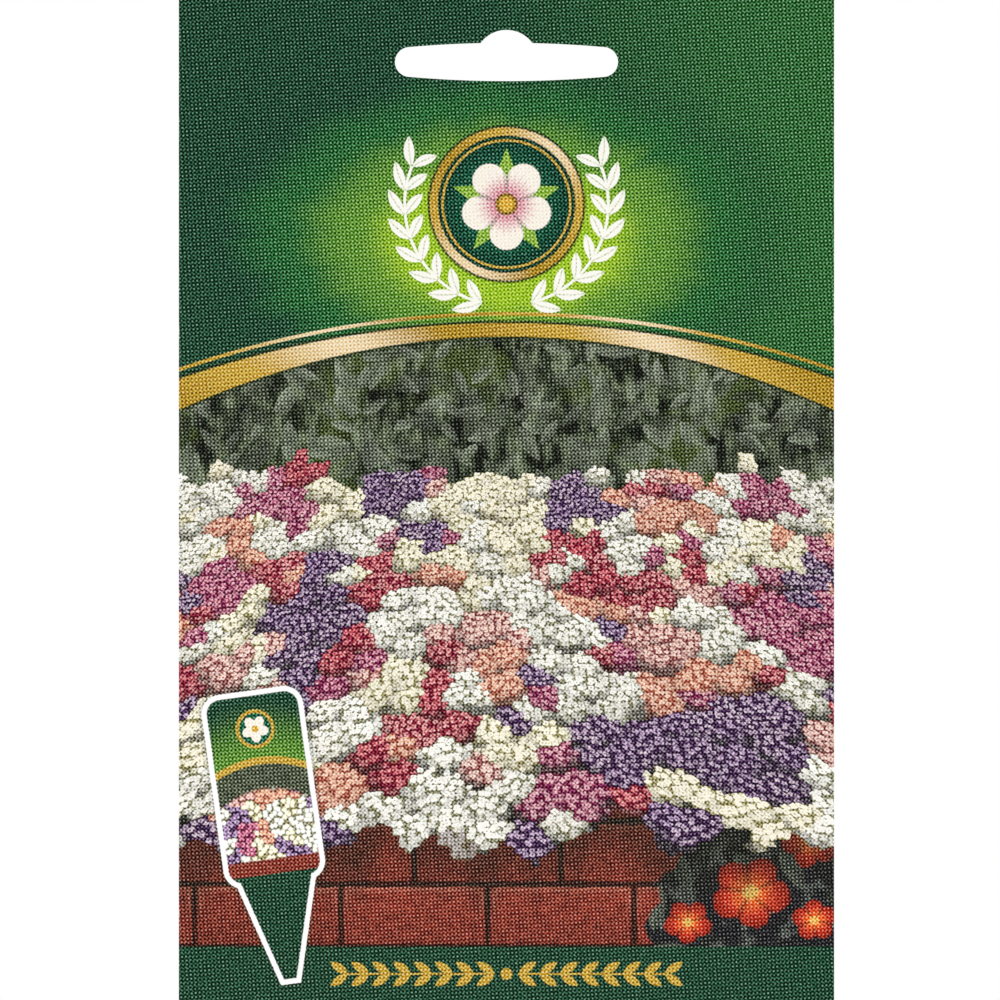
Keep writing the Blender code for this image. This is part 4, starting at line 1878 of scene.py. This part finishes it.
    def fullness(self, x: np.ndarray, z: np.ndarray) -> np.ndarray:
        """How full the pouch is, from 0 at its edges to 1 in the middle."""
        ends = np.minimum(self.pouch_top - z, z - self.low.z)
        return self.ease(self.half - np.abs(x), self.side_run) * self.ease(ends, self.end_run)

    def marks(self, x: np.ndarray, z: np.ndarray, front: bool) -> np.ndarray:
        """How far the paper stands out over the label and the sachet inside, and along small puckers.

        Args:
            x: places across, in metres.
            z: their heights.
            front: True for the front panel.

        Returns:
            The distances, in metres.
        """
        low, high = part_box("sachet_front_foil")
        inside = np.minimum(np.minimum(x - low.x, high.x - x), np.minimum(z - low.z, high.z - z))
        out = self.sachet_mark * self.smooth(inside, -0.9 * MM, 1.3 * MM)
        if front:
            low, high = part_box("plant_label")
            middle = (low.x + high.x) / 2
            taper = np.clip((z - low.z) / (high.z - low.z) / self.label_taper, 0.0, 1.0)
            blade = self.label_tip + (self.label_shoulder - self.label_tip) * taper
            half = (high.x - low.x) / 2 * np.where(taper < 1.0, blade, 1.0)
            inside = np.minimum(half - np.abs(x - middle), np.minimum(z - low.z, high.z - z))
            out = out + self.label_mark * self.smooth(inside, -0.7 * MM, 1.0 * MM)
        return out + self.puckers(x, z, front)

    def puckers(self, x: np.ndarray, z: np.ndarray, front: bool) -> np.ndarray:
        """Shallow waves where the filled pouch pulls the paper in at its sides and its head.

        Args:
            x: places across, in metres.
            z: their heights.
            front: True for the front panel.

        Returns:
            The distances that the paper stands out, in metres.
        """
        draw = np.random.default_rng(11 if front else 12)
        side = self.half - np.abs(x)
        waves = np.zeros_like(x)
        for length, depth in self.pucker_waves:
            phase, tilt = draw.uniform(0, 2 * math.pi, 2)
            lean = z + side * math.sin(tilt) * 0.8
            waves += depth * np.sin(2 * math.pi * lean / length + phase + np.sign(x))
        near = np.exp(-side / self.pucker_reach) * (1 - np.exp(-side / self.pucker_start))
        out = waves * near * self.smooth(self.pouch_top - z, 0.0, self.pucker_below)
        phase = draw.uniform(0, 2 * math.pi)
        head = np.exp(-(((z - self.pouch_top + self.head_drop) / self.head_spread) ** 2))
        out += self.head_depth * np.sin(2 * math.pi * x / self.head_wave + phase) * head
        return out

    def fill(self, sheet: bpy.types.Object) -> None:
        """Swells the flat bag round what it holds, lifts the laps, and slopes the bottom flap's ends.

        Args:
            sheet: the sheet.
        """
        co = read_list(sheet.data.vertices, "co", 3, np.float32).astype(float)
        flap = np.arange(len(co)) >= self.wrap_count
        x, y, z = co.T
        level = flap & (y > self.fold + self.pitch * 0.999)
        shrink = 1.0 - self.bottom_taper * (z - self.row_foot) / self.bottom_end
        x = np.where(level, x * shrink, x)
        share = np.clip((y + self.fold) / (2 * self.pitch), 0.0, 1.0)
        lap = self.lap(x)
        turn = np.clip(y / self.fold, -1.0, 1.0)
        swell = self.fullness(x, z)
        front = self.front_bulge * swell + self.marks(x, z, True)
        back = self.back_bulge * swell + self.marks(x, z, False)
        y = y + np.where(turn < 0, turn * front, turn * back) + np.where(flap, share * lap, 0.0)
        co = np.stack([x, y, z], axis=1).astype(np.float32)
        sheet.data.vertices.foreach_set("co", co.ravel())
        sheet.data.update()

    def thicken(self, sheet: bpy.types.Object) -> None:
        """Gives the sheet its paper thickness, with the inner side and the cut edges in their own slot.

        Args:
            sheet: the sheet.
        """
        wall = sheet.modifiers.new("Paper", "SOLIDIFY")
        wall.thickness = self.paper
        wall.offset = 0.0
        wall.use_even_offset = True
        wall.material_offset = Zone.PLAIN.value
        wall.material_offset_rim = Zone.PLAIN.value
        bpy.ops.object.modifier_apply(modifier=wall.name)

    def punch(self, sheet: bpy.types.Object) -> None:
        """Cuts the hang slot through every layer.

        Args:
            sheet: the sheet.
        """
        punch = self.slot_punch()
        cut = sheet.modifiers.new("Hang slot", "BOOLEAN")
        cut.object = punch
        cut.operation = "DIFFERENCE"
        cut.solver = "EXACT"
        bpy.context.view_layer.objects.active = sheet
        bpy.ops.object.modifier_apply(modifier=cut.name)
        bpy.data.objects.remove(punch, do_unlink=True)

    def slot_punch(self) -> bpy.types.Object:
        """A punch of the slot's outline: a shallow barrel with round ends and a half-round bump on top.

        Returns:
            The punch, longer than the bag is deep.
        """
        middle = Vector((0.0, 0.0, -self.bump_radius))
        reach = (self.slot_width - self.slot_end) / 2
        bpy.ops.object.select_all(action="DESELECT")
        bpy.ops.mesh.primitive_cube_add(size=1.0, location=middle)
        bar = bpy.context.active_object
        bar.scale = (2 * reach, self.punch_depth, self.slot_middle)
        bpy.ops.object.transform_apply(location=True, rotation=True, scale=True)
        bpy.ops.object.mode_set(mode="EDIT")
        bpy.ops.mesh.select_mode(type="EDGE")
        bpy.ops.mesh.select_all(action="DESELECT")
        bm = bmesh.from_edit_mesh(bar.data)
        for edge in bm.edges:
            if abs(edge.verts[0].co.x - edge.verts[1].co.x) > reach:
                edge.select_set(True)
        bmesh.update_edit_mesh(bar.data)
        bpy.ops.mesh.subdivide(number_cuts=24)
        bpy.ops.object.mode_set(mode="OBJECT")
        for vertex in bar.data.vertices:
            narrow = (self.slot_middle - self.slot_end) / 2 * (vertex.co.x / reach) ** 2
            side = math.copysign(1.0, vertex.co.z - middle.z)
            vertex.co.z -= side * narrow
        for side in (-1, 1):
            end = self.add_round(middle + Vector((side * reach, 0.0, 0.0)), self.slot_end / 2, 48)
            self.join_solid(bar, end)
        bpy.ops.object.select_all(action="DESELECT")
        bump = self.add_round(middle, self.bump_radius, 96)
        bpy.ops.object.transform_apply(location=True, rotation=True, scale=True)
        bpy.ops.object.mode_set(mode="EDIT")
        bpy.ops.mesh.select_all(action="SELECT")
        bpy.ops.mesh.bisect(plane_co=middle, plane_no=(0.0, 0.0, 1.0), clear_inner=True, use_fill=True)
        bpy.ops.object.mode_set(mode="OBJECT")
        self.join_solid(bar, bump)
        return bar

    def add_round(self, middle: Vector, radius: float, sides: int) -> bpy.types.Object:
        """Adds a round bar as long as the punch.

        Args:
            middle: where its middle is.
            radius: its radius.
            sides: how many sides it has.

        Returns:
            The bar.
        """
        bpy.ops.mesh.primitive_cylinder_add(
            vertices=sides,
            radius=radius,
            depth=self.punch_depth,
            location=middle,
            rotation=(math.pi / 2, 0.0, 0.0),
        )
        return bpy.context.active_object

    @staticmethod
    def join_solid(base: bpy.types.Object, added: bpy.types.Object) -> None:
        """Joins one solid to another by a union, and removes it.

        Args:
            base: the solid that keeps the result.
            added: the solid to join on.
        """
        union = base.modifiers.new("Union", "BOOLEAN")
        union.object = added
        union.operation = "UNION"
        union.solver = "EXACT"
        bpy.ops.object.select_all(action="DESELECT")
        base.select_set(True)
        bpy.context.view_layer.objects.active = base
        bpy.ops.object.modifier_apply(modifier=union.name)
        bpy.data.objects.remove(added, do_unlink=True)

    def dress(self, sheet: bpy.types.Object) -> None:
        """Gives the sheet its prints, each face the one of its zone.

        Args:
            sheet: the sheet.
        """
        prints = {
            Zone.HEADER: HeaderPrint(),
            Zone.PICTURE: PicturePrint(),
            Zone.BACK: BackPrint(),
            Zone.FLAP: FlapPrint(),
        }
        for zone in Zone:
            sheet.data.materials.append(prints[zone].material() if zone in prints else plain_paper())
        for face in sheet.data.polygons:
            x, y, z = face.center / MM
            band = LAYOUT.arch(x) + LAYOUT.band(x) / 2
            if min(face.vertices) >= self.wrap_count and y > 0:
                zone = Zone.FLAP
            elif y > 0:
                zone = Zone.BACK
            else:
                zone = Zone.HEADER if z - self.low.z / MM > band else Zone.PICTURE
            face.material_index = zone.value

    def back_surface(self, x: np.ndarray, z: np.ndarray) -> np.ndarray:
        """Depth of the back panel's outer side at a place."""
        swell = self.back_bulge * self.fullness(x, z) + self.marks(x, z, False)
        return self.fold + self.lap(x) + swell + self.paper / 2


@dataclass
class PaintMap:
    """The sheet's own texture map, so that patterns painted to a picture stay sharp on the printed front.

    Each area is given by its left, foot, right and top on the picture, as shares of the picture's side.
    """

    bag: FoldedSheet
    name: str = "OFBake"
    front: Area = (0.004, 0.006, 0.640, 0.994)
    back: Area = (0.652, 0.415, 0.996, 0.994)
    glue_flap: Area = (0.652, 0.006, 0.692, 0.403)
    bottom_flap: Area = (0.704, 0.345, 0.996, 0.403)
    inside: Area = (0.704, 0.045, 0.996, 0.333)
    edges: Area = (0.704, 0.006, 0.996, 0.033)
    least: float = 1e-8
    slot_reach: float = 20 * MM
    total: np.ndarray = field(init=False)
    start: np.ndarray = field(init=False)
    zone: np.ndarray = field(init=False)
    centre: np.ndarray = field(init=False)
    normal: np.ndarray = field(init=False)
    face: np.ndarray = field(init=False)
    corner: np.ndarray = field(init=False)

    def read(self, mesh: bpy.types.Mesh) -> None:
        """Reads the mesh's faces, corners and places into arrays.

        Args:
            mesh: the sheet's mesh.
        """
        self.total = read_list(mesh.polygons, "loop_total", 1, np.int32)
        self.zone = read_list(mesh.polygons, "material_index", 1, np.int32)
        self.centre = read_list(mesh.polygons, "center", 3, np.float32)
        self.normal = read_list(mesh.polygons, "normal", 3, np.float32)
        self.start = np.concatenate([[0], np.cumsum(self.total)[:-1]])
        self.face = np.repeat(np.arange(len(self.total)), self.total)
        vertices = read_list(mesh.loops, "vertex_index", 1, np.int32)
        self.corner = read_list(mesh.vertices, "co", 3, np.float32)[vertices]

    @staticmethod
    def spread(area: Area, across: np.ndarray, up: np.ndarray) -> np.ndarray:
        """Fits places into an area of the picture.

        Args:
            area: the area.
            across: places across.
            up: places up.

        Returns:
            The places on the picture.
        """
        place = np.stack([across, up], axis=1)
        least = place.min(axis=0)
        share = (place - least) / (place.max(axis=0) - least)
        low, high = np.array(area[:2]), np.array(area[2:])
        return low + share * (high - low)

    def lay(self, sheet: bpy.types.Object) -> None:
        """Maps the faces of the flat bag, each by its place on the unfolded sheet.

        Args:
            sheet: the sheet.
        """
        mesh = sheet.data
        for layer in list(mesh.uv_layers):
            mesh.uv_layers.remove(layer)
        layer = mesh.uv_layers.new(name=self.name)
        self.read(mesh)
        bag = self.bag
        x, y, z = self.corner.T
        on_front = np.isin(self.zone, (Zone.HEADER.value, Zone.PICTURE.value))[self.face]
        on_flap = (self.zone == Zone.FLAP.value)[self.face]
        under_lap = (self.centre[:, 0] < bag.flap_edge) & (self.centre[:, 1] < bag.fold + bag.pitch / 2)
        on_glue = under_lap[self.face] & ~on_front & ~on_flap
        turn = np.arccos(np.clip(-y / bag.fold, -1.0, 1.0))
        bend = np.where(on_front, turn, math.pi - turn) * bag.fold
        across = np.where(np.abs(x) > bag.flat, np.sign(x) * (bag.flat + bend), x)
        up = np.where(z < bag.row_foot - 1e-6, z - (y + bag.fold), z)
        up = np.where(on_flap, z + y, up)
        uv = np.zeros((len(x), 2))
        areas = (
            (on_front, self.front),
            (on_flap, self.bottom_flap),
            (on_glue, self.glue_flap),
            (~(on_front | on_flap | on_glue), self.back),
        )
        for chosen, area in areas:
            uv[chosen] = self.spread(area, across[chosen], up[chosen])
        layer.data.foreach_set("uv", uv.astype(np.float32).ravel())

    def finish(self, sheet: bpy.types.Object) -> None:
        """Gives the inner side and the cut edges areas of their own, and the cut edges plain paper.

        Args:
            sheet: the sheet.
        """
        mesh = sheet.data
        self.read(mesh)
        layer = mesh.uv_layers[self.name]
        uv = read_list(layer.data, "uv", 2, np.float32)
        follow = np.arange(len(uv)) + 1
        follow[self.start + self.total - 1] = self.start
        cross = uv[:, 0] * uv[follow, 1] - uv[follow, 0] * uv[:, 1]
        size = np.abs(np.add.reduceat(cross, self.start)) / 2
        plain = self.zone == Zone.PLAIN.value
        near_slot = np.hypot(self.centre[:, 0], self.centre[:, 2]) < self.slot_reach
        edge = (plain & (size < self.least)) | (near_slot & (np.abs(self.normal[:, 1]) < 0.3))
        inner = (plain & ~edge)[self.face]
        low, high = np.array(self.inside[:2]), np.array(self.inside[2:])
        uv[inner] = low + uv[inner] * (high - low)
        cut = edge[self.face]
        middle = self.centre[self.face[cut]]
        facing = self.normal[self.face[cut]]
        way = np.stack([-facing[:, 2], facing[:, 0]], axis=1)
        length = np.linalg.norm(way, axis=1, keepdims=True)
        way = np.where(length > 1e-3, way / np.maximum(length, 1e-3), (1.0, 0.0))
        place = self.corner[cut]
        along = (place[:, 0] - middle[:, 0]) * way[:, 0] + (place[:, 2] - middle[:, 2]) * way[:, 1]
        uv[cut] = self.spread(self.edges, middle[:, 0] + middle[:, 2] + along, place[:, 1])
        layer.data.foreach_set("uv", uv.astype(np.float32).ravel())
        self.zone[edge] = Zone.PLAIN.value
        mesh.polygons.foreach_set("material_index", self.zone)
        mesh.update()
        LOG.info("%s: %d of %d faces are cut edges", sheet.name, edge.sum(), len(edge))


@dataclass
class MonthNumbers:
    """The numbers 1 to 12 over the calendar's columns, printed on the back."""

    size: float = 3.4 * MM
    ink: float = 0.02 * MM
    lift: float = 0.01 * MM
    calendar: Calendar = field(default_factory=Calendar)

    def build(self, bag: FoldedSheet) -> bpy.types.Object:
        """Sets the numbers in a row, joins them and lays them on the back.

        Args:
            bag: the sheet that they are printed on.

        Returns:
            The numbers, as one piece.
        """
        made = [self.number(month) for month in range(1, 13)]
        bpy.ops.object.select_all(action="DESELECT")
        for number in made:
            number.select_set(True)
        row = made[0]
        bpy.context.view_layer.objects.active = row
        bpy.ops.object.join()
        row.name = "month_numbers"
        bpy.ops.object.transform_apply(location=True, rotation=True, scale=True)
        self.lay_on(row, bag)
        row.data.materials.clear()
        row.data.materials.append(InkFinish().material())
        return row

    def number(self, month: int) -> bpy.types.Object:
        """Makes one number as a thin mesh that faces backwards.

        Args:
            month: the number.

        Returns:
            The number's mesh object.
        """
        across, up = self.calendar.number_place(month)
        place = (-across * MM, 0.0, (up - foot_height()) * MM)
        bpy.ops.object.select_all(action="DESELECT")
        bpy.ops.object.text_add(location=place, rotation=(math.pi / 2, 0.0, math.pi))
        text = bpy.context.active_object
        text.data.body = str(month)
        text.data.size = self.size
        text.data.align_x = "CENTER"
        text.data.align_y = "CENTER"
        text.data.resolution_u = 3
        text.data.extrude = self.ink / 2
        bpy.ops.object.convert(target="MESH")
        return bpy.context.active_object

    def lay_on(self, row: bpy.types.Object, bag: FoldedSheet) -> None:
        """Presses the numbers onto the paper's curve.

        Args:
            row: the numbers.
            bag: the sheet that they are printed on.
        """
        co = read_list(row.data.vertices, "co", 3, np.float32).astype(float)
        co[:, 1] += bag.back_surface(co[:, 0], co[:, 2]) + self.lift + self.ink / 2
        row.data.vertices.foreach_set("co", co.astype(np.float32).ravel())
        row.data.update()


@dataclass
class Contents:
    """What the packet holds, and the glue that closes it: the frame's own pieces with their finishes."""

    def dress(self, nodes: dict[str, bpy.types.Object]) -> None:
        """Gives each piece its finish.

        Args:
            nodes: the frame's pieces by name.
        """
        glue = GlueFinish().material()
        foil = FoilFinish().material()
        finishes = {
            "side_seam_glue": glue,
            "bottom_flap_glue": glue,
            "header_glue": glue,
            "plant_label": BoardFinish().material(),
            "sachet_front_foil": foil,
            "sachet_back_foil": foil,
            "seeds": SeedFinish().material(),
        }
        for name, material in finishes.items():
            nodes[name].data.materials.clear()
            nodes[name].data.materials.append(material)
            LOG.info("%s: %s", name, material.name)


@dataclass
class Studio:
    """A pale floor, soft light from all round, and a camera square on to the front."""

    lens: float = 400.0
    sensor: float = 36.0
    frame: float = 143.47 * MM
    aim: Vector = field(default_factory=lambda: Vector((-0.93 * MM, 0.0, -67.44 * MM)))
    sight: float = 20.0
    fill: float = 0.30
    floor_drop: float = 26 * MM
    floor_radius: float = 0.54
    floor_dark: Colour = (0.86, 0.86, 0.85)
    floor_light: Colour = (0.90, 0.90, 0.89)
    floor_roughness: float = 0.8
    lamps: tuple[tuple[str, Place, float, float], ...] = (
        ("left_light", (-1.45, -0.9, 0.35), 17.5, 0.9),
        ("right_light", (1.45, -0.9, 0.35), 13.0, 0.9),
        ("back_left_light", (-1.3, 1.0, 0.5), 11.0, 0.9),
        ("back_right_light", (1.3, 1.0, 0.5), 11.0, 0.9),
        ("top_light", (0.0, 0.0, 1.6), 7.0, 1.0),
    )

    def build(self, foot: float) -> None:
        """Sets the floor, the lights, the surroundings and the camera.

        Args:
            foot: height of the packet's foot, in metres.
        """
        self.lay_floor(foot)
        for lamp in self.lamps:
            self.light(*lamp)
        self.surround()
        self.set_camera()

    def lay_floor(self, foot: float) -> None:
        """Lays the round floor under the packet.

        Args:
            foot: height of the packet's foot, in metres.
        """
        bpy.ops.object.select_all(action="DESELECT")
        bpy.ops.mesh.primitive_circle_add(
            vertices=96,
            radius=self.floor_radius,
            fill_type="NGON",
            location=(0.0, 0.0, foot - self.floor_drop),
        )
        floor = bpy.context.active_object
        floor.name = "floor"
        recipe = Recipe("floor_paint")
        where = recipe.node("ShaderNodeTexCoord", {}, {}, "Object")
        shown = recipe.mix(recipe.cloud(where, 6.0, 3.0), self.floor_dark, self.floor_light)
        floor.data.materials.append(recipe.finish(shown, self.floor_roughness))
        floor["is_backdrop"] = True

    def light(self, name: str, place: Place, power: float, size: float) -> None:
        """Adds a soft square light that faces the packet's middle.

        Args:
            name: its name.
            place: where it is, in metres.
            power: in watts.
            size: of its side.
        """
        data = bpy.data.lights.new(name, "AREA")
        data.energy = power
        data.size = size
        lamp = bpy.data.objects.new(name, data)
        bpy.context.scene.collection.objects.link(lamp)
        lamp.location = place
        lamp.rotation_euler = (self.aim - Vector(place)).to_track_quat("-Z", "Y").to_euler()

    def surround(self) -> None:
        """Makes the surroundings white to look at and dim to be lit by."""
        world = bpy.data.worlds.new("surroundings")
        bpy.context.scene.world = world
        world.use_nodes = True
        tree = world.node_tree
        ground = tree.nodes["Background"]
        path = tree.nodes.new("ShaderNodeLightPath")
        level = tree.nodes.new("ShaderNodeMapRange")
        level.inputs["To Min"].default_value = self.fill
        level.inputs["To Max"].default_value = 1.0
        tree.links.new(path.outputs["Is Camera Ray"], level.inputs["Value"])
        tree.links.new(level.outputs["Result"], ground.inputs["Strength"])
        ground.inputs["Color"].default_value = (1.0, 1.0, 1.0, 1.0)
        bpy.context.scene.view_settings.view_transform = "Standard"

    def set_camera(self) -> None:
        """Puts a long lens far enough away to see what the frame shows."""
        data = bpy.data.cameras.new("camera")
        data.lens = self.lens
        data.sensor_width = self.sensor
        data.clip_end = self.sight
        camera = bpy.data.objects.new("camera", data)
        bpy.context.scene.collection.objects.link(camera)
        away = self.frame / self.sensor * self.lens
        camera.location = self.aim + Vector((0.0, -away, 0.0))
        camera.rotation_euler = (math.pi / 2, 0.0, 0.0)
        bpy.context.scene.camera = camera


def main() -> None:
    """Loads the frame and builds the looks."""
    logging.basicConfig(level=logging.INFO, format="%(name)s: %(message)s")
    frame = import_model()
    solid_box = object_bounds()
    bag = FoldedSheet()
    sheet = bag.build()
    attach(sheet, BODY)
    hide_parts("bag_sheet")
    LOG.info("%s: %d faces", sheet.name, len(sheet.data.polygons))
    numbers = MonthNumbers().build(bag)
    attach(numbers, BODY)
    LOG.info("%s: %d faces", numbers.name, len(numbers.data.polygons))
    Contents().dress(frame["nodes"])
    Studio().build(solid_box[0].z)


if __name__ == "__main__":
    main()
